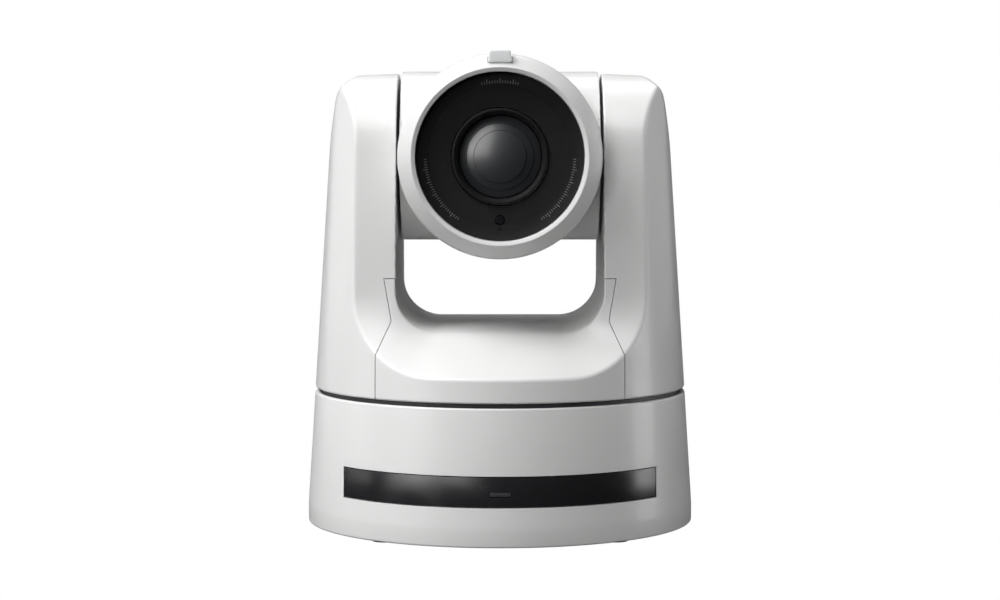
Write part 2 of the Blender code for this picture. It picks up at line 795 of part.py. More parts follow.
for name, side in (("left", -1), ("right", 1)):
    cover = new_object(f"{name}_arm_cover", outer_form.data.copy())
    cut(cover, inner_form)
    common(cover, arm_region(side))
    keep(solid(cover), f"{name}_arm_cover", WHITE, pan)

saddle_void = new_object("saddle_void", inner_form.data.copy())
cut(saddle_void, sheet("window_wall", "Y", [window_outline(COVER_WALL)], -FAR, FAR))
saddle_void = solid(saddle_void)
window_cutter = sheet("window", "Y", [window_outline()], -FAR, FAR)
for name, side in (("front", -1), ("rear", 1)):
    cover = new_object(f"{name}_saddle_cover", outer_form.data.copy())
    cut(cover, window_cutter, saddle_void)
    common(cover, saddle_region(side))
    keep(solid(cover), f"{name}_saddle_cover", WHITE, pan)

# Inner panels close the arms towards the head
panel_inset = COVER_WALL + 0.5 * MM
panel_top = arc(
    (0, TILT_AXIS), (ARM_DEPTH - panel_inset, ARM_TOP - TILT_AXIS - panel_inset), 90, 0, 10
)
panel_foot = (face_depth(FACE_HALF, SADDLE_TOP) - panel_inset, SADDLE_TOP + GAP / 2)
panel_outline = mirrored(panel_top + [panel_foot])
PANEL_OUTER = WINDOW_HALF + COVER_WALL
for name, side in (("left", -1), ("right", 1)):
    low, high = sorted((side * WINDOW_HALF, side * PANEL_OUTER))
    hole = circle((0, TILT_AXIS), SHAFT_RADIUS + 1 * MM)
    inner_panel = sheet(f"{name}_arm_inner_panel", "X", [panel_outline, hole], low, high)
    keep(inner_panel, f"{name}_arm_inner_panel", WHITE, pan)

# A folded metal yoke carries the tilt bearings inside the covers
UPRIGHT_INNER = 47.6 * MM
UPRIGHT_OUTER = 49.6 * MM
yoke_foot = TURNTABLE_HIGH + GAP
yoke_outline = channel_outline(
    UPRIGHT_OUTER, UPRIGHT_INNER, 186 * MM, yoke_foot, yoke_foot + 2 * MM
)
yoke_frame = sheet("yoke_frame", "Y", [yoke_outline], -19 * MM, 19 * MM)
BUSH_RADIUS = 12 * MM
cut(yoke_frame, rod("bush_holes", "X", (0, 0, TILT_AXIS), BUSH_RADIUS + GAP, -FAR, FAR))
keep(yoke_frame, "yoke_frame", STEEL, pan)

for name, side in (("left", -1), ("right", 1)):
    low, high = sorted((side * (PANEL_OUTER + GAP), side * 51 * MM))
    bush = ring(
        f"{name}_tilt_bearing", "X", (0, 0, TILT_AXIS), SHAFT_RADIUS + GAP, BUSH_RADIUS, low, high
    )
    keep(bush, f"{name}_tilt_bearing", BRASS, pan)

PULLEY_LOW = -56.2 * MM
PULLEY_HIGH = -51.6 * MM
MOTOR_SHAFT = 1.5 * MM
motor_profile = [
    (0, -49.9 * MM),
    (MOTOR_SHAFT, -49.9 * MM),
    (MOTOR_SHAFT, -57 * MM),
    (11 * MM, -57 * MM),
    (11 * MM, -67 * MM),
    (10 * MM, -68 * MM),
    (0, -68 * MM),
]
motor_centre = (0, 0, TILT_MOTOR_HEIGHT)
tilt_motor = turned("tilt_motor", "X", motor_centre, motor_profile, FEW_SEGMENTS)
for way in (1, -1):
    post_centre = (0, way * 9 * MM, TILT_MOTOR_HEIGHT - 3 * MM)
    join(tilt_motor, rod("post", "X", post_centre, 1.5 * MM, -58 * MM, -49.9 * MM, 12))
keep(tilt_motor, "tilt_motor", STEEL, pan)

arm_board = block("arm_board", (53 * MM, -16 * MM, 100 * MM), (54.6 * MM, 16 * MM, 150 * MM))
keep(arm_board, "arm_board", BOARD, pan)

belt_loops = []
for thickness in (BELT_THICKNESS, 0.0):
    low_radius = MOTOR_PULLEY_RADIUS + GAP + thickness
    high_radius = PULLEY_RADIUS + GAP + thickness
    belt_loops.append(belt_outline(TILT_MOTOR_HEIGHT, low_radius, TILT_AXIS, high_radius))
tilt_belt = sheet("tilt_belt", "X", belt_loops, PULLEY_LOW + 0.6 * MM, PULLEY_HIGH - 0.6 * MM)
keep(tilt_belt, "tilt_belt", RUBBER, pan)

motor_pulley_body = named_body("motor_pulley_axis", (PULLEY_HIGH, 0, TILT_MOTOR_HEIGHT), pan)
motor_pulley = ring(
    "tilt_motor_pulley",
    "X",
    motor_centre,
    MOTOR_SHAFT + GAP,
    MOTOR_PULLEY_RADIUS,
    PULLEY_LOW,
    PULLEY_HIGH,
    24,
)
keep(motor_pulley, "tilt_motor_pulley", ALUMINIUM, motor_pulley_body)

# ---------------------------------------------------------------- the tilting head

AXIS_POINT = (0, 0, TILT_AXIS)
tilt = named_body("tilt_axis", AXIS_POINT, pan)


def head_form(name, inset):
    """The drum and the barrel that carries the lens ring, shrunk by an inset."""
    radius = DRUM_RADIUS - inset
    half = DRUM_HALF - inset
    round_edge = 1.2 * MM
    hole = SHAFT_RADIUS + GAP
    end = half if inset else half - 8 * MM  # the outer form has a blind hole in each end for the shaft
    right = [(0, end), (hole, end), (hole, half), (radius - round_edge, half), (radius, half - round_edge)]
    profile = right + [(r, -h) for r, h in reversed(right)]
    drum = turned(name, "X", AXIS_POINT, profile, HEAD_SEGMENTS)
    front = BARREL_FRONT - (1 * MM if inset else 0)
    barrel = [
        (0, BARREL_REAR - inset),
        (BARREL_REAR_RADIUS - inset - 1.5 * MM, BARREL_REAR - inset),
        (BARREL_REAR_RADIUS - inset, BARREL_REAR - 3 * MM - inset),
        (BARREL_RADIUS - inset, BARREL_FRONT + 8 * MM),
        (BARREL_RADIUS - inset, front),
        (0, front),
    ]
    tube = turned(name + "_barrel", "Y", AXIS_POINT, barrel, HEAD_SEGMENTS, half_step=True)
    return solid(join(drum, tube))


head_outer = head_form("head_outer", 0.0)
head_inner = head_form("head_inner", HEAD_WALL)
half_of_head = {
    "front": (-FAR, HEAD_SPLIT - GAP / 2),
    "rear": (HEAD_SPLIT + GAP / 2, FAR),
}
for name, (low, high) in half_of_head.items():
    cover = new_object(f"head_{name}_cover", head_outer.data.copy())
    common(cover, block("head_half", (-FAR, low, 0), (FAR, high, 2 * FAR)))
    cut(cover, head_inner)
    keep(solid(cover), f"head_{name}_cover", WHITE, tilt)

ring_profile = [
    (BARREL_RADIUS, BARREL_FRONT - GAP),
    (RING_RADIUS, -52.5 * MM),
    (RING_RADIUS, -61 * MM),
    (42.3 * MM, -63 * MM),
    (40.5 * MM, -65 * MM),
    (LIP_RADIUS + 0.6 * MM, RING_FRONT),
    (LIP_RADIUS, RING_FRONT),
    (PLATE_RADIUS + 0.3 * MM, -64 * MM),
    (PLATE_RADIUS + 0.3 * MM, -58 * MM),
    (33 * MM, -58 * MM),
    (33 * MM, -56 * MM),
    (39.5 * MM, -53 * MM),
    (39.5 * MM, BARREL_FRONT - GAP),
]
lens_ring = turned("lens_ring", "Y", AXIS_POINT, ring_profile, HEAD_SEGMENTS)
LAMP_FOOT = 201.2 * MM
LAMP_HALF = 5.6 * MM
LAMP_REAR = -51 * MM
lamp_notch = block(
    "lamp_notch",
    (-LAMP_HALF - GAP, -FAR, LAMP_FOOT - GAP),
    (LAMP_HALF + GAP, LAMP_REAR + GAP, 2 * FAR),
)
keep(cut(lens_ring, lamp_notch), "lens_ring", WHITE, tilt)

lamp_outline = mirrored([(LAMP_HALF - 1 * MM, TALLY_TOP), (LAMP_HALF, LAMP_FOOT)])
tally_lamp = sheet("tally_lamp", "Y", [lamp_outline], RING_FRONT + 0.3 * MM, LAMP_REAR)
keep(tally_lamp, "tally_lamp", LAMP, tilt)

PLATE_BORE = LENS_TUBE_RADIUS + GAP
MARK_PLACE = (0, 0, TILT_AXIS - 26.5 * MM)
MARK_RADIUS = 1.9 * MM
front_plate = ring(
    "front_plate",
    "Y",
    AXIS_POINT,
    PLATE_BORE,
    PLATE_RADIUS,
    PLATE_FRONT,
    PLATE_FRONT + 1.6 * MM,
    HEAD_SEGMENTS,
)
cut(front_plate, rod("mark", "Y", MARK_PLACE, MARK_RADIUS + GAP, -FAR, 0, 20))
keep(front_plate, "front_plate", BLACK, tilt)

sensor_window = rod(
    "sensor_window",
    "Y",
    MARK_PLACE,
    MARK_RADIUS,
    PLATE_FRONT + 0.2 * MM,
    PLATE_FRONT + 1.6 * MM,
    20,
)
keep(sensor_window, "sensor_window", GLOSS_BLACK, tilt)

tube_profile = [
    (LENS_TUBE_RADIUS, LENS_TUBE_REAR),
    (LENS_TUBE_RADIUS, -60.6 * MM),
    (19.6 * MM, -61.2 * MM),
    (19.0 * MM, -61.2 * MM),
    (18.0 * MM, -58 * MM),
    (LENS_TUBE_BORE, -56 * MM),
    (LENS_TUBE_BORE, LENS_TUBE_REAR),
]
lens_barrel = turned("lens_barrel", "Y", AXIS_POINT, tube_profile, HEAD_SEGMENTS)
keep(lens_barrel, "lens_barrel", BLACK, tilt)

LENS_RADIUS = LENS_TUBE_BORE - 0.4 * MM
LENS_APEX = -59.5 * MM
LENS_EDGE = -55 * MM
lens_rise = LENS_EDGE - LENS_APEX
dome_radius = (LENS_RADIUS**2 + lens_rise**2) / (2 * lens_rise)
dome_angle = asin(LENS_RADIUS / dome_radius)
dome = [
    (
        dome_radius * sin(dome_angle * i / 5),
        LENS_APEX + dome_radius * (1 - cos(dome_angle * i / 5)),
    )
    for i in range(5, 0, -1)
]
lens_profile = [(0, -50 * MM), (LENS_RADIUS, -50 * MM)] + dome + [(0, LENS_APEX)]
front_lens = turned("front_lens", "Y", AXIS_POINT, lens_profile, 32)
keep(front_lens, "front_lens", GLASS, tilt)


def lens_group(name, front, rear, body):
    """A lens in its cell: a disc with a raised rim."""
    cell = LENS_TUBE_BORE - 0.6 * MM
    profile = [
        (0, rear - 0.4 * MM),
        (13 * MM, rear - 1.4 * MM),
        (13 * MM, rear),
        (cell, rear),
        (cell, front),
        (13 * MM, front),
        (13 * MM, front + 1.4 * MM),
        (0, front + 0.4 * MM),
    ]
    keep(turned(name, "Y", AXIS_POINT, profile, FEW_SEGMENTS), name, GLASS, body)


zoom_body = named_body("zoom_axis", (0, -40 * MM, TILT_AXIS), tilt)
lens_group("zoom_group", -43 * MM, -36 * MM, zoom_body)
focus_body = named_body("focus_axis", (0, -18 * MM, TILT_AXIS), tilt)
lens_group("focus_group", -20.5 * MM, -15.5 * MM, focus_body)

BLOCK_HALF = 20 * MM
BLOCK_REAR = 22 * MM
camera_block = block(
    "camera_block",
    (-BLOCK_HALF, LENS_TUBE_REAR + GAP, TILT_AXIS - BLOCK_HALF),
    (BLOCK_HALF, BLOCK_REAR, TILT_AXIS + BLOCK_HALF),
)
block_bevel = camera_block.modifiers.new("edges", "BEVEL")
block_bevel.width = 1.2 * MM
block_bevel.segments = 2
keep(camera_block, "camera_block", ALUMINIUM, tilt)

sensor_board = block(
    "sensor_board",
    (-18 * MM, BLOCK_REAR + GAP, TILT_AXIS - 18 * MM),
    (18 * MM, BLOCK_REAR + GAP + 1.6 * MM, TILT_AXIS + 18 * MM),
)
keep(sensor_board, "sensor_board", BOARD, tilt)

bracket_foot = TILT_AXIS - BLOCK_HALF - GAP
bracket_top = TILT_AXIS + 18 * MM
bracket_outline = channel_outline(
    38 * MM, 36 * MM, bracket_top, bracket_foot - 2 * MM, bracket_foot
)
camera_bracket = sheet("camera_bracket", "Y", [bracket_outline], -9 * MM, 20 * MM)
keep(camera_bracket, "camera_bracket", STEEL, tilt)

FLANGE_RADIUS = 12 * MM
SHAFT_BORE = 3.5 * MM
for name, side, reach in (("left", -1, 57 * MM), ("right", 1, 53 * MM)):
    profile = [
        (SHAFT_RADIUS, reach),
        (SHAFT_RADIUS, 40.5 * MM),
        (FLANGE_RADIUS, 40.5 * MM),
        (FLANGE_RADIUS, 38.4 * MM),
        (SHAFT_BORE, 38.4 * MM),
        (SHAFT_BORE, reach),
    ]
    shaft = turned(
        "shaft", "X", AXIS_POINT, [(r, side * h) for r, h in profile], FEW_SEGMENTS
    )
    keep(shaft, f"{name}_tilt_shaft", STEEL, tilt)

tilt_pulley = ring(
    "tilt_pulley",
    "X",
    AXIS_POINT,
    SHAFT_RADIUS + GAP,
    PULLEY_RADIUS,
    PULLEY_LOW,
    PULLEY_HIGH,
    40,
)
keep(tilt_pulley, "tilt_pulley", ACETAL, tilt)
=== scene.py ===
"""The finished look of a pan-tilt-zoom camera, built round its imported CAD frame.

The covers of the fork and of the tilting head are smooth surfaces traced from formulas, and the turned pieces
are fine lathe work. Metres, +Z up, the lens looks along -Y.
"""

from math import asin, cos, hypot, pi, radians, sin, sqrt

import bmesh
import bpy
import numpy as np
from mathutils import Matrix, Vector


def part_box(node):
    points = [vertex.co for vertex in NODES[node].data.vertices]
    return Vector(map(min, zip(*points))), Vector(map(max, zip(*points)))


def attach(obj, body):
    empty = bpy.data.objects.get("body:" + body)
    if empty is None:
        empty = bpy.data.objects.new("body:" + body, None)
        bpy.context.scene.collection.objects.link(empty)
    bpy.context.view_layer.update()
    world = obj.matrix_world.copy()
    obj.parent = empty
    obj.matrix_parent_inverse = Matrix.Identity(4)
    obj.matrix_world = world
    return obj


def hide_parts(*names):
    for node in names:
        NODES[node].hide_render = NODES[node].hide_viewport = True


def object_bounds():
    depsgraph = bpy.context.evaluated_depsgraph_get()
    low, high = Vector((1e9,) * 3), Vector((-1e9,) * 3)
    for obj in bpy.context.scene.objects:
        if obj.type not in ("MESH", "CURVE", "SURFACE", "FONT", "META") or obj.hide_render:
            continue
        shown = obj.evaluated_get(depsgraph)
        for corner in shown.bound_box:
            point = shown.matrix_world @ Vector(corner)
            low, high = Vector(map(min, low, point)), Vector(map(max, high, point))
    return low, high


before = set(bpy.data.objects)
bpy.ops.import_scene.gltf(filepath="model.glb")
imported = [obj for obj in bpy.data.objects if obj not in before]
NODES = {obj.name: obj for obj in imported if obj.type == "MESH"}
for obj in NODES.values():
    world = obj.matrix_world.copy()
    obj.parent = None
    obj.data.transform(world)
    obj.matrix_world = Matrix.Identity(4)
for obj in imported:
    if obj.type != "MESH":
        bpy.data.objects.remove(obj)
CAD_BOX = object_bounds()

MM = 0.001
GAP = 0.3 * MM  # between pieces that touch on the real object
FAR = 130 * MM  # past the object's sides
CELL = 0.8 * MM  # grid of the traced surfaces
ROUND = 224  # segments round a large turned piece

# The conical body that the base and the pan head share
BASE_RADIUS = CAD_BOX[1][0]
SKIRT_TOP = 9 * MM
TAPER = 0.0638
BODY_BOTTOM = 1.3 * MM
BASE_TOP = 58 * MM
RIM_TOP = BASE_TOP + 0.7 * MM  # the base's finished rim
HEAD_BOTTOM = 60.6 * MM
BASE_WALL = 2.5 * MM
COVER_WALL = 2.2 * MM

# The window between the arms, and the flared face round it
TILT_AXIS = 162.2 * MM
WINDOW_HALF = 44.3 * MM
WINDOW_BOTTOM = 90.3 * MM  # at the middle of the saddle, which rolls down to the lips
SADDLE_DROP = 3.3 * MM
WINDOW_CORNER = 18 * MM
LIP_HEIGHT = 87 * MM
LIP_DEPTH = 50 * MM
FACE_HALF = 62.2 * MM
FACE_BOTTOM = 70.7 * MM
FACE_CORNER = 32.5 * MM
ARM_TOP = 198.4 * MM
ARM_DEPTH = 42.5 * MM
ARM_LEAN = 7.5 / 52
SADDLE_TOP = 110.5 * MM
BEVEL_DISTANCE = 74.25 * MM
BEVEL_HEIGHT = 165 * MM
BEVEL_LEAN = 0.0811
BEVEL_ANGLE = radians(25.7)
# An arm's top seen from in front, from the window over the crown to the outer side
CROWN_LINE = [
    (44.3 * MM, 198.5 * MM),
    (63 * MM, 197.3 * MM),
    (70 * MM, 191.2 * MM),
    (71.3 * MM, 189 * MM),
    (74.6 * MM, 173 * MM),
]

# How wide the edges between the pan head's faces are rounded
BODY_EDGE = 1.2 * MM
CROWN_EDGE = 1.6 * MM
LIP_EDGE = 1.5 * MM
FACE_EDGE = 1.0 * MM
WINDOW_EDGE = 0.6 * MM
BOTTOM_EDGE = 0.8 * MM

# The seam between a saddle cover and the arm cover beside it, as (x, z), from its top down
SEAM_BOTTOM = 50 * MM  # below the pan head
SEAM_LINE = [(49.4 * MM, SADDLE_TOP), (46.2 * MM, 92.6 * MM), (52.5 * MM, 79 * MM), (52.5 * MM, SEAM_BOTTOM)]
SADDLE_SEAM = 0.045 * MM  # half the gap between the front and the rear saddle cover

# The tilting head
DRUM_RADIUS = 37 * MM
DRUM_HALF = 43.1 * MM
HEAD_SPLIT = 6 * MM
HEAD_WALL = 2.2 * MM
BARREL_FRONT = -50 * MM
BARREL_REAR = -6 * MM
BARREL_RADIUS = 42.2 * MM
BARREL_REAR_RADIUS = 37.5 * MM
BARREL_STRAIGHT = 8 * MM  # behind its front edge, before it tapers
BARREL_END = 8 * MM
BARREL_FILLET = 6 * MM
DRUM_EDGE = 0.5 * MM
BARREL_EDGE = 0.6 * MM
RING_RADIUS = 43 * MM
RING_FRONT = -66.5 * MM
LIP_RADIUS = 36.9 * MM
PLATE_RADIUS = 35.2 * MM
PLATE_FRONT = -60 * MM
LENS_TUBE_RADIUS = 20.3 * MM
LENS_TUBE_BORE = 17.6 * MM
SHAFT_RADIUS = 6.7 * MM
STEP_RADIUS = 29.2 * MM
RING_BORE = PLATE_RADIUS + 0.15 * MM
AXIS_POINT = Vector((0, 0, TILT_AXIS))


# ---------------- mesh helpers


def place(name, mesh):
    """A new object of this mesh in the scene."""
    obj = bpy.data.objects.new(name, mesh)
    bpy.context.scene.collection.objects.link(obj)
    return obj


def built(name, made):
    """A new object from a bmesh, which it uses up."""
    mesh = bpy.data.meshes.new(name)
    made.to_mesh(mesh)
    made.free()
    return place(name, mesh)


def smooth(obj, angle=30):
    """Smooth shading that stays sharp at edges steeper than an angle."""
    obj.data.shade_smooth()
    obj.data.set_sharp_from_angle(angle=radians(angle))
    return obj


def from_arrays(name, points, faces):
    mesh = bpy.data.meshes.new(name)
    mesh.from_pydata([tuple(p) for p in points], [], [tuple(f) for f in faces])
    mesh.validate()
    return place(name, mesh)


def boolean(obj, tool, operation="DIFFERENCE"):
    """Cuts, joins or intersects with a tool, which it uses up, leaving a plain mesh."""
    modifier = obj.modifiers.new("boolean", "BOOLEAN")
    modifier.operation = operation
    modifier.solver = "EXACT"
    modifier.object = tool
    bpy.context.view_layer.update()
    evaluated = obj.evaluated_get(bpy.context.evaluated_depsgraph_get())
    mesh = bpy.data.meshes.new_from_object(evaluated)
    obj.modifiers.clear()
    obj.data = mesh
    bpy.data.objects.remove(tool, do_unlink=True)
    return obj


def boxes(name, placed):
    """Several boxes in one mesh, each given by its size and by the matrix that places it."""
    made = bmesh.new()
    for size, matrix in placed:
        cube = bmesh.ops.create_cube(made, size=1.0)["verts"]
        bmesh.ops.scale(made, vec=size, verts=cube)
        bmesh.ops.transform(made, matrix=matrix, verts=cube)
    return built(name, made)


def block(low, high):
    low, high = Vector(low), Vector(high)
    return boxes("block", [(high - low, Matrix.Translation((low + high) / 2))])


ALONG = {
    "X": Matrix(((0, 0, 1), (1, 0, 0), (0, 1, 0))),
    "Y": Matrix(((1, 0, 0), (0, 0, 1), (0, -1, 0))),
    "Z": Matrix.Identity(3),
}


def lathe(name, axis, centre, profile, segments=ROUND):
    """A profile of (radius, place along the axis) turned about it: open and capped by its own ends when both
    lie on the axis, closed into a ring when neither does."""
    closed = profile[0][0] > 0 or profile[-1][0] > 0
    made = bmesh.new()
    rings = []
    for radius, along in profile:
        if radius == 0:
            rings.append([made.verts.new((0, 0, along))])
            continue
        angles = [2 * pi * i / segments for i in range(segments)]
        rings.append([made.verts.new((radius * cos(a), radius * sin(a), along)) for a in angles])
    pairs = list(zip(rings, rings[1:])) + ([(rings[-1], rings[0])] if closed else [])
    for first, second in pairs:
        for i in range(segments):
            j = (i + 1) % segments
            corners = [first[i % len(first)], first[j % len(first)]]
            corners += [second[j % len(second)], second[i % len(second)]]
            made.faces.new(list(dict.fromkeys(corners)))
    bmesh.ops.recalc_face_normals(made, faces=made.faces)
    turn = ALONG[axis].to_4x4()
    bmesh.ops.transform(made, matrix=Matrix.Translation(centre) @ turn, verts=made.verts)
    inside_out = made.calc_volume(signed=True) < 0
    obj = built(name, made)
    if inside_out:
        obj.data.flip_normals()
    return obj


def rounded(profile, radius, steps=5, closed=True):
    """A profile with its corners replaced by arcs, as a fillet would."""
    count = len(profile)
    made = []
    for i, corner in enumerate(profile):
        if not closed and i in (0, count - 1):
            made.append(corner)
            continue
        here = Vector(corner)
        before = Vector(profile[i - 1]) - here
        after = Vector(profile[(i + 1) % count]) - here
        reach = min(radius, 0.45 * before.length, 0.45 * after.length)
        start = here + before.normalized() * reach
        end = here + after.normalized() * reach
        for step in range(steps + 1):
            t = step / steps
            point = start * (1 - t) ** 2 + here * 2 * t * (1 - t) + end * t**2
            made.append((point.x, point.y))
    return made


def prism(axis, outline, low, high):
    """A flat outline of two values, extruded along an axis."""
    made = bmesh.new()
    order = {"X": (2, 0, 1), "Y": (0, 2, 1), "Z": (0, 1, 2)}[axis]

    def corner(u, v, w):
        values = (u, v, w)
        return made.verts.new([values[i] for i in order])

    lower = [corner(u, v, low) for u, v in outline]
    upper = [corner(u, v, high) for u, v in outline]
    made.faces.new(lower)
    made.faces.new(upper)
    for i in range(len(outline)):
        j = (i + 1) % len(outline)
        made.faces.new((lower[i], lower[j], upper[j], upper[i]))
    bmesh.ops.recalc_face_normals(made, faces=made.faces)
    return built("prism", made)


def arc(centre, radius, start, end, steps):
    """Points along an arc between two angles in degrees."""
    angles = [radians(start + (end - start) * i / steps) for i in range(steps + 1)]
    return [(centre[0] + radius * cos(a), centre[1] + radius * sin(a)) for a in angles]


def mirrored_copy(obj, name, scale):
    """A mirror image of a mesh, from a scale with -1 for the mirrored axis."""
    mesh = obj.data.copy()
    mesh.transform(Matrix.Diagonal((*scale, 1)))
    mesh.flip_normals()
    return smooth(place(name, mesh))


# ---------------- surfaces from formulas


def meet(first, second, soft):
    """The solid that two solids share, its edges rounded over a width."""
    lap = np.maximum(soft - np.abs(first - second), 0)
    return np.maximum(first, second) + lap**2 / (4 * soft)


def merge(first, second, soft):
    """Two solids joined with a fillet."""
    return -meet(-first, -second, soft)


def slope_of(field, points, step=2e-5):
    """The field's gradient at each point."""
    slopes = np.empty_like(points)
    for axis in range(3):
        ahead, behind = points.copy(), points.copy()
        ahead[:, axis] += step
        behind[:, axis] -= step
        slopes[:, axis] = (field(*ahead.T) - field(*behind.T)) / (2 * step)
    return slopes


def settle(field, points, times):
    """Moves points onto the field's zero surface."""
    for _ in range(times):
        slopes = slope_of(field, points)
        size = np.maximum((slopes**2).sum(1), 1e-6)
        move = field(*points.T)[:, None] * slopes / size[:, None]
        length = np.maximum(np.linalg.norm(move, axis=1, keepdims=True), 1e-12)
        points = points - move * np.minimum(1, 0.7 * CELL / length)
    return points


GRID_OFFSET = 0.37  # of a cell, so that no flat face lies along the grid
EVENING = 0.6  # how far a corner goes towards the mean of its neighbours


def trace(name, field, low, high, relax=4):
    """A closed surface where a field is zero, one corner in each grid cell that it crosses, evened out and
    then settled on the true surface."""
    axes = [np.arange(low[i] - GRID_OFFSET * CELL, high[i] + CELL, CELL) for i in range(3)]
    values = field(*np.meshgrid(*axes, indexing="ij"))
    inside = values < 0
    corners = [(i, j, k) for i in (0, 1) for j in (0, 1) for k in (0, 1)]
    shape = tuple(n - 1 for n in values.shape)

    def shifted(array, offset):
        return array[tuple(slice(o, o + n) for o, n in zip(offset, shape))]

    filled = sum(shifted(inside, corner).astype(np.int8) for corner in corners)
    active = (filled > 0) & (filled < 8)
    number = np.full(shape, -1, np.int64)
    number[active] = np.arange(active.sum())
    cells = np.argwhere(active)
    total = np.zeros((len(cells), 3))
    crossings = np.zeros(len(cells))
    for axis in range(3):
        for corner in corners:
            if corner[axis]:
                continue
            other = tuple(c + (i == axis) for i, c in enumerate(corner))
            a = shifted(values, corner)[active]
            b = shifted(values, other)[active]
            crossing = (a < 0) != (b < 0)
            share = np.where(crossing, a / np.where(crossing, a - b, 1), 0)
            point = np.array(corner, float)[None, :] + np.eye(3)[axis][None, :] * share[:, None]
            total += point * crossing[:, None]
            crossings += crossing
    origin = np.array([a[0] for a in axes])
    points = origin + (cells + total / crossings[:, None]) * CELL

    faces = []
    for axis in range(3):
        u, v = [i for i in range(3) if i != axis]
        ahead = np.roll(inside, -1, axis)
        change = inside != ahead
        trim = [slice(1, -1)] * 3
        trim[axis] = slice(0, -1)
        at = np.argwhere(change[tuple(trim)])
        at += np.array([0 if i == axis else 1 for i in range(3)])
        ring = []
        for du, dv in ((-1, -1), (0, -1), (0, 0), (-1, 0)):
            index = at.copy()
            index[:, u] += du
            index[:, v] += dv
            ring.append(number[tuple(index.T)])
        quads = np.stack(ring, 1)
        outward = inside[tuple(at.T)]
        if axis == 1:
            outward = ~outward
        quads[~outward] = quads[~outward][:, ::-1]
        faces.append(quads)
    faces = np.concatenate(faces)

    edges = np.concatenate([faces[:, [i, (i + 1) % 4]] for i in range(4)])
    edges = np.concatenate([edges, edges[:, ::-1]])
    degree = np.maximum(np.bincount(edges[:, 0], minlength=len(points)), 1)[:, None]
    points = settle(field, points, 3)
    for _ in range(relax):
        mean = np.zeros_like(points)
        for axis in range(3):
            mean[:, axis] = np.bincount(
                edges[:, 0], weights=points[edges[:, 1], axis], minlength=len(points)
            )
        points = settle(field, points + EVENING * (mean / degree - points), 1)
    points = settle(field, points, 4)
    return from_arrays(name, points, faces)


def cone_radius(z):
    """Outer radius of the conical body at a height."""
    return BASE_RADIUS - np.maximum(z - SKIRT_TOP, 0) * TAPER


def u_distance(x, z, half, bottom, radius):
    """Distance outside a tall window with round bottom corners, seen from in front."""
    across = np.abs(x) - (half - radius)
    down = (bottom + radius) - z
    corner = np.hypot(np.maximum(across, 0), np.maximum(down, 0))
    return corner + np.minimum(np.maximum(across, down), 0) - radius


def flare_distance(x, y, z):
    """Distance in front of the flared face, ruled from the window's edge to a larger U on the cone."""
    inner = u_distance(x, z, WINDOW_HALF, LIP_HEIGHT, WINDOW_CORNER)
    outer = u_distance(x, z, FACE_HALF, FACE_BOTTOM, FACE_CORNER)
    share = inner / (inner - outer)
    half_step = FACE_HALF - WINDOW_HALF
    drop = LIP_HEIGHT - FACE_BOTTOM
    grow = FACE_CORNER - WINDOW_CORNER
    centre_x = WINDOW_HALF - WINDOW_CORNER + (half_step - grow) * share
    centre_z = LIP_HEIGHT + WINDOW_CORNER + (grow - drop) * share
    across = np.maximum(np.abs(x) - centre_x, 0)
    down = np.maximum(centre_z - z, 0)
    size = np.hypot(across, down)
    away_x = np.where(size > 1e-9, across / np.maximum(size, 1e-9), 0)
    away_z = np.where(size > 1e-9, down / np.maximum(size, 1e-9), 1)
    far_x = np.abs(x) + (1 - share) * half_step * away_x
    far_z = z - (1 - share) * drop * away_z
    near_z = z + share * drop * away_z
    far_y = np.sqrt(np.maximum(cone_radius(far_z) ** 2 - far_x**2, 0))
    near_y = np.sqrt(np.maximum(cone_radius(near_z) ** 2 - FACE_HALF**2, 0))
    near_y = -meet(-near_y, np.full_like(near_y, -LIP_DEPTH), LIP_EDGE)
    slope = (far_y - near_y) / (0.5 * (half_step + drop))
    depth = near_y * (1 - share) + far_y * share
    return (np.abs(y) - depth) / np.sqrt(1 + slope**2)


def crown_distance(x, y, z):
    """Distance outside the arms' rounded tops, with their chamfered outer corners. Just above the saddle the
    depth starts to grow fast, so that this cuts nothing below."""
    depth = ARM_DEPTH + np.maximum(TILT_AXIS - z, 0) * ARM_LEAN
    depth = depth + np.maximum(SADDLE_TOP + 4 * MM - z, 0) * 4
    rise = np.maximum(z - TILT_AXIS, 0) / (ARM_TOP - TILT_AXIS)
    side = (np.hypot(np.abs(y) / depth, rise) - 1) * (ARM_TOP - TILT_AXIS)
    for (x0, z0), (x1, z1) in zip(CROWN_LINE, CROWN_LINE[1:]):
        length = hypot(x1 - x0, z1 - z0)
        normal = ((z0 - z1) / length, (x1 - x0) / length)
        plane = (np.abs(x) - x0) * normal[0] + (z - z0) * normal[1]
        side = meet(side, plane, BODY_EDGE)
    return side


def fork_form(x, y, z):
    """The pan head before its window is cut, open downwards: below zero inside it."""
    cone = (np.hypot(x, y) - cone_radius(z)) / sqrt(1 + TAPER**2)
    bevel = np.abs(x) * cos(BEVEL_ANGLE) + np.abs(y) * sin(BEVEL_ANGLE)
    bevel = (bevel + (z - BEVEL_HEIGHT) * BEVEL_LEAN - BEVEL_DISTANCE) / sqrt(1 + BEVEL_LEAN**2)
    form = meet(cone, bevel, BODY_EDGE)
    form = meet(form, crown_distance(x, y, z), CROWN_EDGE)
    return meet(form, flare_distance(x, y, z), FACE_EDGE)


def window_form(x, y, z):
    """Below zero outside the window, whose floor rolls down towards both lips."""
    floor = WINDOW_BOTTOM - SADDLE_DROP * np.minimum(np.abs(y) / LIP_DEPTH, 1.1) ** 4
    return -u_distance(x, z - floor, WINDOW_HALF, 0.0, WINDOW_CORNER)


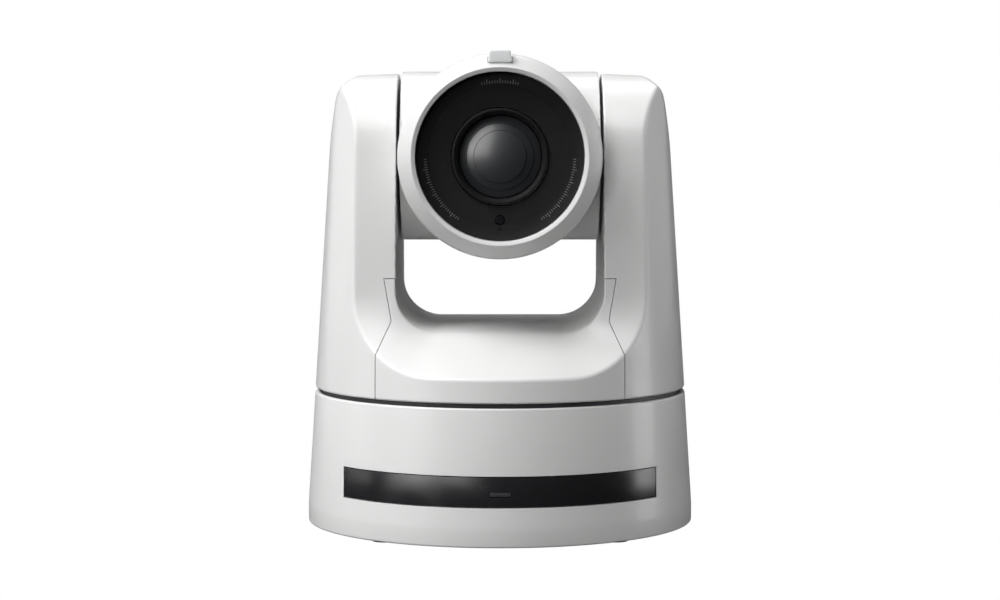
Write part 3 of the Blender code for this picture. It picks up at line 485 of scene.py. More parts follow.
def fork_field(x, y, z):
    """The whole pan head as one closed form."""
    form = meet(fork_form(x, y, z), window_form(x, y, z), WINDOW_EDGE)
    return meet(form, HEAD_BOTTOM - z, BOTTOM_EDGE)


def arm_shell(x, y, z):
    """The fork as a shell that is open towards the window, where the inner panels close it."""
    return np.maximum(fork_field(x, y, z), -fork_form(x, y, z) - COVER_WALL)


def saddle_shell(x, y, z):
    """The fork as a shell with a wall under the window as well."""
    room = np.maximum(fork_form(x, y, z), window_form(x, y, z)) + COVER_WALL
    return np.maximum(fork_field(x, y, z), -room)


def head_field(x, y, z):
    """The drum with the barrel that carries the lens ring, blended together."""
    height = z - TILT_AXIS
    drum = meet(np.hypot(y, height) - DRUM_RADIUS, np.abs(x) - DRUM_HALF, DRUM_EDGE)
    taper_front = BARREL_FRONT + BARREL_STRAIGHT
    share = np.clip((y - taper_front) / (BARREL_REAR - taper_front), 0, 1)
    radius = BARREL_RADIUS + (BARREL_REAR_RADIUS - BARREL_RADIUS) * share
    barrel = np.hypot(x, height) - radius
    barrel = meet(barrel, y - BARREL_REAR, BARREL_END)
    form = merge(drum, barrel, BARREL_FILLET)
    form = meet(form, np.abs(x) - DRUM_HALF, DRUM_EDGE)
    return meet(form, BARREL_FRONT - y, BARREL_EDGE)


def head_shell(x, y, z):
    """The head's covers, open at the front, where the lens ring closes them."""
    height = z - TILT_AXIS
    opening = np.hypot(x, height) - BARREL_RADIUS + 2 * HEAD_WALL
    opening = np.maximum(opening, y - BARREL_FRONT - 2 * HEAD_WALL)
    room = np.minimum(head_field(x, y, z) + HEAD_WALL, opening)
    return np.maximum(head_field(x, y, z), -room)


def polish(obj, field):
    """Takes each corner's normal from the field where the face lies along it, so that no facet shows."""
    mesh = obj.data
    mesh.shade_smooth()
    points = np.empty(len(mesh.vertices) * 3)
    mesh.vertices.foreach_get("co", points)
    slopes = slope_of(field, points.reshape(-1, 3))
    slopes /= np.maximum(np.linalg.norm(slopes, axis=1, keepdims=True), 1e-9)
    corner = np.empty(len(mesh.loops), np.int32)
    mesh.loops.foreach_get("vertex_index", corner)
    count = np.empty(len(mesh.polygons), np.int32)
    mesh.polygons.foreach_get("loop_total", count)
    flat = np.empty(len(mesh.polygons) * 3)
    mesh.polygons.foreach_get("normal", flat)
    flat = np.repeat(flat.reshape(-1, 3), count, axis=0)
    curved = slopes[corner]
    along = (curved * flat).sum(1)[:, None] > cos(radians(40))
    mesh.normals_split_custom_set(np.where(along, curved, flat).tolist())
    return obj


# ---------------- materials


def dial(node, values):
    """Sets inputs of a shader node."""
    for key, value in values.items():
        node.inputs[key].default_value = value


def shader(name, colour, roughness, metallic=0.0):
    """A new material, its tree, its Principled shader and a node that gives the place on the object."""
    made = bpy.data.materials.new(name)
    made.use_nodes = True
    made.diffuse_color = (*colour, 1)
    tree = made.node_tree
    principled = tree.nodes["Principled BSDF"]
    dial(principled, {"Base Color": (*colour, 1), "Roughness": roughness, "Metallic": metallic})
    where = tree.nodes.new("ShaderNodeTexCoord").outputs["Object"]
    return made, tree, principled, where


def noise(tree, where, scale, detail=3.0, stretch=None):
    """A cloud pattern with features of about 1 / scale metres."""
    if stretch:
        mapping = tree.nodes.new("ShaderNodeMapping")
        mapping.inputs["Scale"].default_value = stretch
        tree.links.new(where, mapping.inputs["Vector"])
        where = mapping.outputs["Vector"]
    made = tree.nodes.new("ShaderNodeTexNoise")
    dial(made, {"Scale": scale, "Detail": detail})
    tree.links.new(where, made.inputs["Vector"])
    return made.outputs["Fac"]


def ranged(tree, value, low, high, start=0.3, end=0.7):
    """A value mapped from a span, by default a noise's usual one, to another."""
    made = tree.nodes.new("ShaderNodeMapRange")
    tree.links.new(value, made.inputs["Value"])
    dial(made, {"From Min": start, "From Max": end, "To Min": low, "To Max": high})
    return made.outputs["Result"]


def tinted(tree, value, first, second):
    """A colour that runs from the first, which may be a node's, to the second as a value goes from 0 to 1."""
    made = tree.nodes.new("ShaderNodeMix")
    made.data_type = "RGBA"
    tree.links.new(value, made.inputs["Factor"])
    if isinstance(first, tuple):
        made.inputs["A"].default_value = (*first, 1)
    else:
        tree.links.new(first, made.inputs["A"])
    made.inputs["B"].default_value = (*second, 1)
    return made.outputs["Result"]


def bumped(tree, principled, value, depth, strength=1.0):
    """Relief of a depth from a value."""
    made = tree.nodes.new("ShaderNodeBump")
    dial(made, {"Strength": strength, "Distance": depth})
    tree.links.new(value, made.inputs["Height"])
    tree.links.new(made.outputs["Normal"], principled.inputs["Normal"])


def scaled(colour, share):
    return tuple(c * share for c in colour)


def plastic(name, colour, roughness, grain=1400, depth=6e-6, wear=0.06, coat=0.0):
    """Moulded plastic: a fine spark-eroded grain, slight mottling and edges rubbed a little lighter."""
    made, tree, principled, where = shader(name, colour, roughness)
    mottle = ranged(tree, noise(tree, where, 38), 0.0, 1.0)
    body = tinted(tree, mottle, scaled(colour, 0.975), colour)
    geometry = tree.nodes.new("ShaderNodeNewGeometry")
    edge = ranged(tree, geometry.outputs["Pointiness"], 0.0, wear, 0.52, 0.62)
    worn = tinted(tree, edge, body, tuple(min(1, c * 1.1 + 0.02) for c in colour))
    tree.links.new(worn, principled.inputs["Base Color"])
    rubbed = ranged(tree, noise(tree, where, 85, 5), roughness - 0.05, roughness + 0.05)
    tree.links.new(rubbed, principled.inputs["Roughness"])
    dial(principled, {"Coat Weight": coat, "Coat Roughness": 0.06})
    bumped(tree, principled, noise(tree, where, grain, 2), depth)
    return made


def metal(name, colour, roughness, brush=(1, 1, 1), scale=900):
    """Metal with the fine lines or mottling that its working left."""
    made, tree, principled, where = shader(name, colour, roughness, 1.0)
    lines = noise(tree, where, scale, 4, brush)
    body = tinted(tree, ranged(tree, lines, 0, 1), scaled(colour, 0.86), colour)
    tree.links.new(body, principled.inputs["Base Color"])
    rough = ranged(tree, lines, roughness - 0.08, roughness + 0.1)
    tree.links.new(rough, principled.inputs["Roughness"])
    bumped(tree, principled, lines, 8e-6, 0.6)
    return made


def circuit_board(name):
    """Green solder mask over copper tracks, with tinned pads."""
    made, tree, principled, where = shader(name, (0.02, 0.14, 0.06), 0.35)
    tracks = tree.nodes.new("ShaderNodeTexBrick")
    dial(tracks, {"Scale": 300, "Mortar Size": 0.06, "Mortar": (0.05, 0.26, 0.1, 1)})
    dial(tracks, {"Color1": (0.02, 0.14, 0.06, 1), "Color2": (0.025, 0.17, 0.07, 1)})
    tree.links.new(where, tracks.inputs["Vector"])
    pads = tree.nodes.new("ShaderNodeTexVoronoi")
    pads.inputs["Scale"].default_value = 260
    tree.links.new(where, pads.inputs["Vector"])
    pad = ranged(tree, pads.outputs["Distance"], 1.0, 0.0, 0.16, 0.2)
    tinned = tinted(tree, pad, tracks.outputs["Color"], (0.75, 0.74, 0.7))
    tree.links.new(tinned, principled.inputs["Base Color"])
    tree.links.new(ranged(tree, pad, 0.42, 0.22, 0, 1), principled.inputs["Roughness"])
    bumped(tree, principled, pad, 2e-5)
    return made


def lens_glass(name):
    """Deep coated glass, whose broad soft gloss is what shows of it, a little bluer in places."""
    made, tree, principled, where = shader(name, (0.018, 0.019, 0.021), 0.34)
    dial(principled, {"IOR": 1.85, "Coat Weight": 0.12, "Coat Roughness": 0.05})
    haze = noise(tree, where, 60, 4)
    tree.links.new(ranged(tree, haze, 0.32, 0.36), principled.inputs["Roughness"])
    tint = tinted(tree, ranged(tree, haze, 0, 1), (0.015, 0.016, 0.018), (0.019, 0.020, 0.022))
    tree.links.new(tint, principled.inputs["Base Color"])
    return made


def frosted(name):
    """A milky light guide."""
    made = plastic(name, (0.88, 0.89, 0.9), 0.34, 900, 4e-6)
    milk = {"Subsurface Weight": 0.5, "Subsurface Radius": (1, 1, 1), "Subsurface Scale": 0.003}
    dial(made.node_tree.nodes["Principled BSDF"], milk)
    return made


# Each finish: what makes it, its colour, its roughness and the maker's further settings
MAKERS = {
    "white_housing": (plastic, (0.80, 0.80, 0.795), 0.36, 1400, 6e-6, 0.06, 0.12),
    "black_plastic": (plastic, (0.0115, 0.0115, 0.012), 0.55, 1000, 1e-5, 0.08),
    "dark_grey_plastic": (plastic, (0.045, 0.046, 0.05), 0.5, 1000, 1e-5, 0.1),
    "smoked_window": (plastic, (0.010, 0.010, 0.011), 0.24, 300, 1e-6, 0.0),
    "lens_glass": (lens_glass,),
    "frosted_lamp": (frosted,),
    "steel": (metal, (0.56, 0.57, 0.58), 0.32, (1, 14, 1)),
    "aluminium": (metal, (0.80, 0.81, 0.82), 0.34, (1, 1, 9)),
    "circuit_board": (circuit_board,),
    "rubber": (plastic, (0.025, 0.025, 0.027), 0.78, 700, 2e-5, 0.2),
    "acetal": (plastic, (0.82, 0.81, 0.76), 0.4, 700, 5e-6),
    "brass": (metal, (0.78, 0.58, 0.26), 0.3, (9, 1, 1)),
}
FINISHES = {name: make(name, *settings) for name, (make, *settings) in MAKERS.items()}
# Looks that no slot of the record has: the lens tube's matt black, made darker than the black plastic so that
# it paints the shade round the glass, and the ink of the scale
MATT_BLACK_AND_SHADE = plastic("matt_black_and_painted_shade", (0.006, 0.006, 0.0065), 0.62, 1000, 1e-6, 0.0)
GREY_INK = plastic("grey_ink", (0.24, 0.24, 0.245), 0.5, 2000, 1e-6, 0.0)


def finish(obj, slot, body, *nodes, look=None):
    """Gives a piece its material, its body and the CAD nodes that it stands for."""
    obj.data.materials.clear()
    obj.data.materials.append(look or FINISHES[slot])
    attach(obj, body)
    if nodes:
        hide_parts(*nodes)
    return obj


# ---------------- the base

CENTRE = (0, 0, 0)
BAND_LOW, BAND_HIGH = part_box("front_window")
PANEL_LOW, PANEL_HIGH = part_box("connector_panel")
PANEL_FACE = 72.5 * MM
PANEL_ROOM = 60 * MM  # how far in the body is cut open for the panel

base_profile = [
    (cone_radius(RIM_TOP) - BASE_WALL, RIM_TOP),
    (cone_radius(RIM_TOP), RIM_TOP),
    (BASE_RADIUS, SKIRT_TOP),
    (BASE_RADIUS, BODY_BOTTOM),
    (BASE_RADIUS - BASE_WALL, BODY_BOTTOM),
    (BASE_RADIUS - BASE_WALL, SKIRT_TOP),
]
base = lathe("base_shell_skin", "Z", CENTRE, rounded(base_profile, 0.9 * MM))


def room_for(low, high, front, back):
    """A cutter that leaves a gap round a piece, between two places along Y."""
    return block((low.x - GAP, front, low.z - GAP), (high.x + GAP, back, high.z + GAP))


boolean(base, room_for(BAND_LOW, BAND_HIGH, -FAR, 0))
boolean(base, room_for(PANEL_LOW, PANEL_HIGH, PANEL_ROOM, FAR))
finish(smooth(base), "white_housing", "base", "base_shell")


def cone_slab(name, low, high, depth, thickness, half, soft=0.3 * MM):
    """A strip of the cone's surface, sunk by a depth and cut to a half width."""
    profile = [
        (cone_radius(high) - depth, high),
        (cone_radius(low) - depth, low),
        (cone_radius(low) - depth - thickness, low),
        (cone_radius(high) - depth - thickness, high),
    ]
    strip = lathe(name, "Z", CENTRE, rounded(profile, soft, 3))
    return boolean(strip, block((-half, -FAR, low - MM), (half, 0, high + MM)), "INTERSECT")


LED_LOW, LED_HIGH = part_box("status_led")
band = cone_slab("front_window_skin", BAND_LOW.z, BAND_HIGH.z, 0.1 * MM, 2.1 * MM, BAND_HIGH.x)
boolean(band, room_for(LED_LOW, LED_HIGH, -FAR, 0))
finish(smooth(band), "smoked_window", "base", "front_window")
led = cone_slab(
    "status_led_skin", LED_LOW.z, LED_HIGH.z, 0.15 * MM, 5 * MM, LED_HIGH.x, 0.25 * MM
)
finish(smooth(led), "dark_grey_plastic", "base", "status_led")

# The top ring in the seam under the pan head, a flat floor with a raised rim, made dark grey so that it
# paints the shade that falls in the seam
SEAM_OUTER, SEAM_RIM, SEAM_INNER = 79 * MM, 73 * MM, 60 * MM
SEAM_UNDERSIDE = 55.5 * MM
SEAM_FLOOR = HEAD_BOTTOM - 2 * MM
seam_profile = [
    (SEAM_OUTER, HEAD_BOTTOM - GAP),
    (SEAM_OUTER, SEAM_UNDERSIDE),
    (SEAM_INNER, SEAM_UNDERSIDE),
    (SEAM_INNER, SEAM_FLOOR),
    (SEAM_RIM - MM, SEAM_FLOOR),
    (SEAM_RIM, HEAD_BOTTOM - GAP),
]
seam = lathe("top_ring_skin", "Z", CENTRE, rounded(seam_profile, 0.25 * MM))
finish(smooth(seam), "dark_grey_plastic", "base", "top_ring")

for corner in ("front_left", "front_right", "rear_left", "rear_right"):
    low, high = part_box(f"foot_{corner}")
    radius = (high.x - low.x) / 2
    centre = ((low.x + high.x) / 2, (low.y + high.y) / 2, 0)
    outline = [(0, high.z), (radius, high.z), (radius, 0)]
    outline += [(radius - 1.4 * MM, 0), (radius - 1.6 * MM, 0.3 * MM), (0, 0.3 * MM)]
    foot = lathe(f"foot_{corner}_pad", "Z", centre, rounded(outline, 0.5 * MM, 4, False), 48)
    finish(smooth(foot), "rubber", "base", f"foot_{corner}")


# ---------------- the connector panel

SOCKETS = {}
for node in ("lan_port", "serial_port", "hdmi_port", "sdi_connector", "dc_inlet", "audio_jack"):
    low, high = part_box(node)
    SOCKETS[node] = (low, high, (low + high) / 2)

PANEL_SUNK = 0.5 * MM  # its rim, behind the body's surface
PANEL_RIM = 1.8 * MM
HOLE_FRONT = 50 * MM  # where the cutters of the panel's holes start, inside the base
cut_low, cut_high = PANEL_LOW.z - 5 * MM, PANEL_HIGH.z + 5 * MM
cone_cut = [
    (0, cut_low),
    (cone_radius(cut_low) - PANEL_SUNK, cut_low),
    (cone_radius(cut_high) - PANEL_SUNK, cut_high),
    (0, cut_high),
]
panel = block((PANEL_LOW.x, PANEL_FACE - 2 * MM, PANEL_LOW.z), (PANEL_HIGH.x, FAR, PANEL_HIGH.z))


def rounded_block(low, high, radius):
    """A block whose four edges along Y are round."""
    (x0, y0, z0), (x1, y1, z1) = low, high
    outline = []
    for x, z, start in (
        (x1 - radius, z1 - radius, 0),
        (x0 + radius, z1 - radius, 90),
        (x0 + radius, z0 + radius, 180),
        (x1 - radius, z0 + radius, 270),
    ):
        outline += arc((x, z), radius, start, start + 90, 6)
    return prism("Y", outline, y0, y1)


def round_hole(middle, radius, front=HOLE_FRONT, back=FAR, segments=64):
    """A cutter along Y."""
    profile = [(0, front), (radius, front), (radius, back), (0, back)]
    return lathe("hole", "Y", (middle.x, 0, middle.z), profile, segments)


boolean(
    panel,
    rounded_block(
        (PANEL_LOW.x + PANEL_RIM, PANEL_FACE, PANEL_LOW.z + PANEL_RIM),
        (PANEL_HIGH.x - PANEL_RIM, 2 * FAR, PANEL_HIGH.z - PANEL_RIM),
        2 * MM,
    ),
)
boolean(panel, lathe("cone_cut", "Z", CENTRE, cone_cut), "INTERSECT")
for node, (low, high, middle) in SOCKETS.items():
    if node in ("lan_port", "serial_port", "hdmi_port"):
        hole = rounded_block(
            (low.x - GAP, HOLE_FRONT, low.z - GAP), (high.x + GAP, FAR, high.z + GAP), 0.9 * MM
        )
    else:
        hole = round_hole(middle, (high.x - low.x) / 2 + GAP)
    boolean(panel, hole)
button_low, button_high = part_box("reset_button")
button_middle = (button_low + button_high) / 2
button_radius = (button_high.x - button_low.x) / 2
boolean(panel, round_hole(button_middle, button_radius + GAP, segments=48))
finish(smooth(panel), "black_plastic", "base", "connector_panel")

BUTTON_DISH = 0.2 * MM
button_profile = [
    (0, button_low.y),
    (button_radius, button_low.y),
    (button_radius, button_high.y),
    (button_radius * 0.7, button_high.y),
    (button_radius * 0.5, button_high.y - BUTTON_DISH),
    (0, button_high.y - BUTTON_DISH),
]
button_centre = (button_middle.x, 0, button_middle.z)
button = lathe("reset_button_cap", "Y", button_centre, rounded(button_profile, 0.25 * MM, 4, False), 40)
finish(smooth(button), "dark_grey_plastic", "reset_button", "reset_button")

# The half width and half height of each rectangular socket's mouth
MOUTHS = {
    "lan_port": (5.9 * MM, 4.2 * MM),
    "serial_port": (5.9 * MM, 4.2 * MM),
    "hdmi_port": (7.0 * MM, 2.4 * MM),
}
SOCKET_FLOOR = 67 * MM
CONTACT_END = 72.8 * MM
TONGUE_END = 73.6 * MM
for node, (half_x, half_z) in MOUTHS.items():
    low, high, middle = SOCKETS[node]
    shell = rounded_block(low, high, 0.7 * MM)
    mouth_low = (middle.x - half_x, SOCKET_FLOOR, middle.z - half_z)
    mouth_high = (middle.x + half_x, FAR, middle.z + half_z)
    boolean(shell, rounded_block(mouth_low, mouth_high, 0.5 * MM))
    if node != "hdmi_port":
        latch = block(
            (middle.x - 1.6 * MM, SOCKET_FLOOR, middle.z + half_z - MM),
            (middle.x + 1.6 * MM, FAR, middle.z + half_z + 1.5 * MM),
        )
        boolean(shell, latch)
    finish(smooth(shell), "steel", "base", node)
    if node == "hdmi_port":
        tongue = rounded_block(
            (middle.x - 5.2 * MM, SOCKET_FLOOR - 0.5 * MM, middle.z - 0.6 * MM),
            (middle.x + 5.2 * MM, TONGUE_END, middle.z + 0.6 * MM),
            0.3 * MM,
        )
        finish(smooth(tongue), "black_plastic", "base")
        tongue.name = "hdmi_tongue"
        pitch, count, z = 1.0 * MM, 9, middle.z + 0.7 * MM
        width, height = 0.44 * MM, 0.24 * MM
    else:
        pitch, count, z = 1.02 * MM, 8, middle.z - half_z + 0.6 * MM
        width, height = 0.4 * MM, 0.7 * MM
    contact_root = SOCKET_FLOOR - 0.4 * MM
    y = (contact_root + CONTACT_END) / 2
    size = (width, CONTACT_END - contact_root, height)
    across = [middle.x + (i - (count - 1) / 2) * pitch for i in range(count)]
    contacts = [(size, Matrix.Translation((x, y, z))) for x in across]
    finish(boxes(f"{node}_contacts", contacts), "brass", "base")


def round_socket(node, bore, nose, nose_root, collar_face, tail, segments=72):
    """A turned socket: a nose with a bore, on a collar, with a narrow hole behind."""
    low, high, middle = SOCKETS[node]
    collar = (high.x - low.x) / 2
    profile = [
        (bore, SOCKET_FLOOR),
        (bore, high.y),
        (nose, high.y),
        (nose_root, collar_face),
        (collar, collar_face),
        (collar, low.y),
        (tail, low.y),
        (tail, SOCKET_FLOOR),
    ]
    return lathe(f"{node}_body", "Y", (middle.x, 0, middle.z), rounded(profile, 0.3 * MM), segments)


def centre_pin(name, middle, radius, tip, slot):
    """The pin in the middle of a round socket."""
    root = 62 * MM
    profile = [(0, root), (radius, root), (radius, tip), (0, tip)]
    centre = (middle.x, 0, middle.z)
    pin = lathe(name, "Y", centre, rounded(profile, 0.3 * MM, 4, False), 32)
    return finish(smooth(pin), slot, "base")


coax = round_socket("sdi_connector", 3.6 * MM, 4.7 * MM, 4.7 * MM, 73.6 * MM, 0.9 * MM)
middle = SOCKETS["sdi_connector"][2]
LUG_REACH, LUG_RADIUS, LUG_Y = 5.4 * MM, 0.6 * MM, 74.3 * MM
for side in (-1, 1):
    ends = sorted((middle.x, middle.x + side * LUG_REACH))
    lug_profile = [(0, ends[0]), (LUG_RADIUS, ends[0]), (LUG_RADIUS, ends[1]), (0, ends[1])]
    lug = lathe("lug", "X", (0, LUG_Y, middle.z), lug_profile, 24)
    boolean(lug, round_hole(middle, 4.2 * MM, PANEL_ROOM, FAR, 48))
    boolean(coax, lug, "UNION")
finish(smooth(coax), "steel", "base", "sdi_connector")
centre_pin("sdi_centre_pin", middle, 0.6 * MM, 72.5 * MM, "brass")

inlet = round_socket("dc_inlet", 3.4 * MM, 5.0 * MM, 5.2 * MM, 73.4 * MM, 1.2 * MM)
finish(smooth(inlet), "black_plastic", "base", "dc_inlet")
centre_pin("dc_centre_pin", SOCKETS["dc_inlet"][2], 1.0 * MM, 72 * MM, "steel")

jack = round_socket("audio_jack", 1.8 * MM, 3.0 * MM, 3.1 * MM, 73.8 * MM, 0.5 * MM, 64)
finish(smooth(jack), "black_plastic", "base", "audio_jack")


# ---------------- the pan head's covers


def arm_region():
    """All that lies beside the seam on the right."""
    inner, above = 40 * MM, 230 * MM
    edge = [(inner, above), (inner, SADDLE_TOP + GAP / 2), (SEAM_LINE[0][0], SADDLE_TOP + GAP / 2)]
    edge += SEAM_LINE[1:] + [(FAR, SEAM_BOTTOM), (FAR, above)]
    return prism("Y", edge, -FAR, FAR)


def saddle_region():
    """All that lies between the two seams, in front of the middle."""
    right = [(x - GAP, z) for x, z in SEAM_LINE]
    right[0] = (right[0][0], SADDLE_TOP - GAP / 2)
    edge = right + [(-x, z) for x, z in reversed(right)]
    return prism("Y", edge, -FAR, -SADDLE_SEAM)


def cover_pair(nodes, shell, low, high, region, mirror):
    """A cover traced from the fork's shell and cut to its region, and its mirror image."""
    first = trace(f"{nodes[0]}_skin", shell, low, high)
    boolean(first, region, "INTERSECT")
    second = mirrored_copy(first, f"{nodes[1]}_skin", mirror)
    for obj, node in zip((first, second), nodes):
        finish(polish(obj, fork_field), "white_housing", "pan_head", node)


cover_pair(
    ("right_arm_cover", "left_arm_cover"),
    arm_shell,
    (40 * MM, -70 * MM, HEAD_BOTTOM - MM),
    (84 * MM, 70 * MM, ARM_TOP + 3 * MM),
    arm_region(),
    (-1, 1, 1),
)
cover_pair(
    ("front_saddle_cover", "rear_saddle_cover"),
    saddle_shell,
    (-56 * MM, -84 * MM, HEAD_BOTTOM - MM),
    (56 * MM, 2 * MM, SADDLE_TOP + 2 * MM),
    saddle_region(),
    (1, -1, 1),
)

# The panels inside the arms end inside the covers' walls
inset = COVER_WALL + 0.5 * MM
panel_height = ARM_TOP - TILT_AXIS - inset
panel_arc = arc((0, 0), 1.0, 0, 180, 64)
panel_edge = [(u * (ARM_DEPTH - inset), TILT_AXIS + v * panel_height) for u, v in panel_arc]
foot_reach = sqrt(cone_radius(SADDLE_TOP) ** 2 - FACE_HALF**2) - inset
panel_edge += [(-foot_reach, SADDLE_TOP + GAP / 2), (foot_reach, SADDLE_TOP + GAP / 2)]
for name, side in (("left", -1), ("right", 1)):
    low, high = sorted((side * (WINDOW_HALF + 0.02 * MM), side * (WINDOW_HALF + COVER_WALL)))
    inner_panel = prism("X", panel_edge, low, high)
    inner_panel.name = f"{name}_arm_inner_panel_skin"
    bore = SHAFT_RADIUS + MM
    start, end = side * 30 * MM, side * 60 * MM
    hole = lathe("hole", "X", AXIS_POINT, [(0, start), (bore, start), (bore, end), (0, end)], 64)
    boolean(inner_panel, hole)
    finish(smooth(inner_panel), "white_housing", "pan_head", f"{name}_arm_inner_panel")


# ---------------- the tilting head

head = trace(
    "head_form",
    head_shell,
    (-46 * MM, -52 * MM, TILT_AXIS - 45 * MM),
    (46 * MM, 40 * MM, TILT_AXIS + 45 * MM),
)
for name, low, high in (("front", -FAR, HEAD_SPLIT - GAP / 2), ("rear", HEAD_SPLIT + GAP / 2, FAR)):
    cover = place(f"head_{name}_cover_skin", head.data.copy())
    boolean(cover, block((-FAR, low, 0), (FAR, high, 2 * FAR)), "INTERSECT")
    finish(polish(cover, head_field), "white_housing", "camera_head", f"head_{name}_cover")
bpy.data.objects.remove(head, do_unlink=True)

# The lens ring: its outside and front cone have soft edges, its lip and its inside crisp ones
ring_outer = [
    (BARREL_RADIUS, BARREL_FRONT - GAP),
    (RING_RADIUS, -52.5 * MM),
    (RING_RADIUS, -59.6 * MM),
    (42.4 * MM, -61.6 * MM),
    (37.2 * MM, RING_FRONT),
]
ring_inner = [
    (LIP_RADIUS, RING_FRONT),
    (RING_BORE, -65.8 * MM),
    (RING_BORE, -58 * MM),
    (33 * MM, -58 * MM),
    (33 * MM, -56 * MM),
    (39.5 * MM, -53 * MM),
    (39.5 * MM, BARREL_FRONT - GAP),
]
ring_profile = ring_outer[:2] + rounded(ring_outer[1:], 1.3 * MM, 6, False)[1:-1]
ring_profile += rounded(ring_outer[-2:] + ring_inner, 0.22 * MM, 4, False)[1:]
ring = lathe("lens_ring_skin", "Y", AXIS_POINT, ring_profile)
LAMP_LOW, LAMP_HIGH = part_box("tally_lamp")
notch = block(
    (LAMP_LOW.x + 0.35 * MM, -FAR, LAMP_LOW.z - 0.1 * MM),
    (LAMP_HIGH.x - 0.35 * MM, LAMP_HIGH.y + GAP, 2 * FAR),
)
boolean(ring, notch)
finish(smooth(ring), "white_housing", "camera_head", "lens_ring")

LAMP_HALF = LAMP_HIGH.x - 0.5 * MM
LAMP_TAPER = 0.7 * MM
lamp_edge = [
    (LAMP_HALF, LAMP_LOW.z),
    (LAMP_HALF - LAMP_TAPER, LAMP_HIGH.z - GAP),
    (LAMP_TAPER - LAMP_HALF, LAMP_HIGH.z - GAP),
    (-LAMP_HALF, LAMP_LOW.z),
]
lamp = prism("Y", rounded(lamp_edge, 0.9 * MM, 5), LAMP_LOW.y + 0.4 * MM, LAMP_HIGH.y)
lamp.name = "tally_lamp_lens"
edges = lamp.modifiers.new("edges", "BEVEL")
edges.width = 0.8 * MM
edges.segments = 5
edges.limit_method = "ANGLE"
finish(smooth(lamp, 50), "frosted_lamp", "camera_head", "tally_lamp")

MARK_LOW, MARK_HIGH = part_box("sensor_window")
MARK = (MARK_LOW + MARK_HIGH) / 2
MARK_RADIUS = (MARK_HIGH.x - MARK_LOW.x) / 2
PLATE_BORE = LENS_TUBE_RADIUS + GAP
PLATE_REAR = PLATE_FRONT + 1.6 * MM
PLATE_STEP = PLATE_FRONT + 0.3 * MM
plate_profile = [
    (PLATE_BORE, PLATE_REAR),
    (PLATE_BORE, PLATE_FRONT),
    (STEP_RADIUS, PLATE_FRONT),
    (STEP_RADIUS + 0.9 * MM, PLATE_STEP),
    (PLATE_RADIUS, PLATE_STEP),
    (PLATE_RADIUS, PLATE_REAR),
]
plate = lathe("front_plate_skin", "Y", AXIS_POINT, rounded(plate_profile, 0.1 * MM, 3))
boolean(plate, round_hole(MARK, MARK_RADIUS + GAP, -FAR, 0))
notch_top = TILT_AXIS - STEP_RADIUS + 0.2 * MM
triangle = [(-1.1 * MM, notch_top - 1.9 * MM), (1.1 * MM, notch_top - 1.9 * MM), (0, notch_top)]
boolean(plate, prism("Y", triangle, -FAR, PLATE_FRONT + 0.7 * MM))
finish(smooth(plate), "black_plastic", "camera_head", "front_plate")

mark_profile = [
    (0, MARK_LOW.y + 0.1 * MM),
    (MARK_RADIUS * 0.75, MARK_LOW.y),
    (MARK_RADIUS, MARK_LOW.y + 0.15 * MM),
    (MARK_RADIUS, MARK_HIGH.y),
    (0, MARK_HIGH.y),
]
mark_centre = (MARK.x, 0, MARK.z)
mark = lathe("sensor_window_lens", "Y", mark_centre, rounded(mark_profile, 0.1 * MM, 3, False), 64)
finish(smooth(mark), "smoked_window", "camera_head", "sensor_window")

# The lens tube, with a rounded rim and three fine steps down to the glass
TUBE_REAR, TUBE_SHOULDER, TUBE_FRONT = -10 * MM, -60.6 * MM, -61.2 * MM
barrel_profile = [(LENS_TUBE_RADIUS, TUBE_REAR), (LENS_TUBE_RADIUS, TUBE_SHOULDER)]
barrel_profile += [(19.7 * MM, TUBE_FRONT), (19.0 * MM, TUBE_FRONT)]
for step in range(3):
    radius = 18.9 * MM - step * 0.35 * MM
    front = TUBE_SHOULDER + step * 0.9 * MM
    barrel_profile += [(radius, front), (radius - 0.3 * MM, front + 0.45 * MM)]
barrel_profile += [(LENS_TUBE_BORE, -57 * MM), (LENS_TUBE_BORE, TUBE_REAR)]
tube = lathe("lens_barrel_skin", "Y", AXIS_POINT, rounded(barrel_profile, 0.1 * MM, 2))
# Its black is darker than the plastic's and paints the shade that lies round the glass
finish(smooth(tube), "black_plastic", "camera_head", "lens_barrel", look=MATT_BLACK_AND_SHADE)

LENS_LOW, LENS_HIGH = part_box("front_lens")
LENS_RADIUS, LENS_APEX, LENS_REAR = LENS_HIGH.x, LENS_LOW.y, LENS_HIGH.y
LENS_EDGE = -55 * MM
rise = LENS_EDGE - LENS_APEX
dome_radius = (LENS_RADIUS**2 + rise**2) / (2 * rise)
# The rings that show in the glass: from a radius to a radius, and how far each lies behind the dome
ZONES = ((0.0, 10.9 * MM, 0.0), (11.1 * MM, 14.0 * MM, 0.35 * MM), (14.2 * MM, LENS_RADIUS, 0.8 * MM))


def lens_zone(start, end, sunk, steps=12):
    """Points on the dome between two radii, sunk behind it by a step."""
    first, last = asin(start / dome_radius), asin(end / dome_radius)
    angles = [first + (last - first) * i / steps for i in range(steps + 1)]
    return [
        (dome_radius * sin(a), LENS_APEX + sunk + dome_radius * (1 - cos(a))) for a in angles
    ]


lens_profile = [point for zone in ZONES for point in lens_zone(*zone)]
REAR_RADIUS, REAR_STEPS = 30 * MM, 16  # the hollow behind the glass
rear_angle = asin(0.82 * LENS_RADIUS / REAR_RADIUS)
lens_profile.append((LENS_RADIUS, LENS_REAR))
for i in range(REAR_STEPS, -1, -1):
    angle = rear_angle * i / REAR_STEPS
    hollow = REAR_RADIUS * (cos(angle) - cos(rear_angle))
    lens_profile.append((REAR_RADIUS * sin(angle), LENS_REAR - hollow))
front_lens = lathe("front_lens_glass", "Y", AXIS_POINT, lens_profile, 160)
finish(smooth(front_lens, 40), "lens_glass", "camera_head", "front_lens")


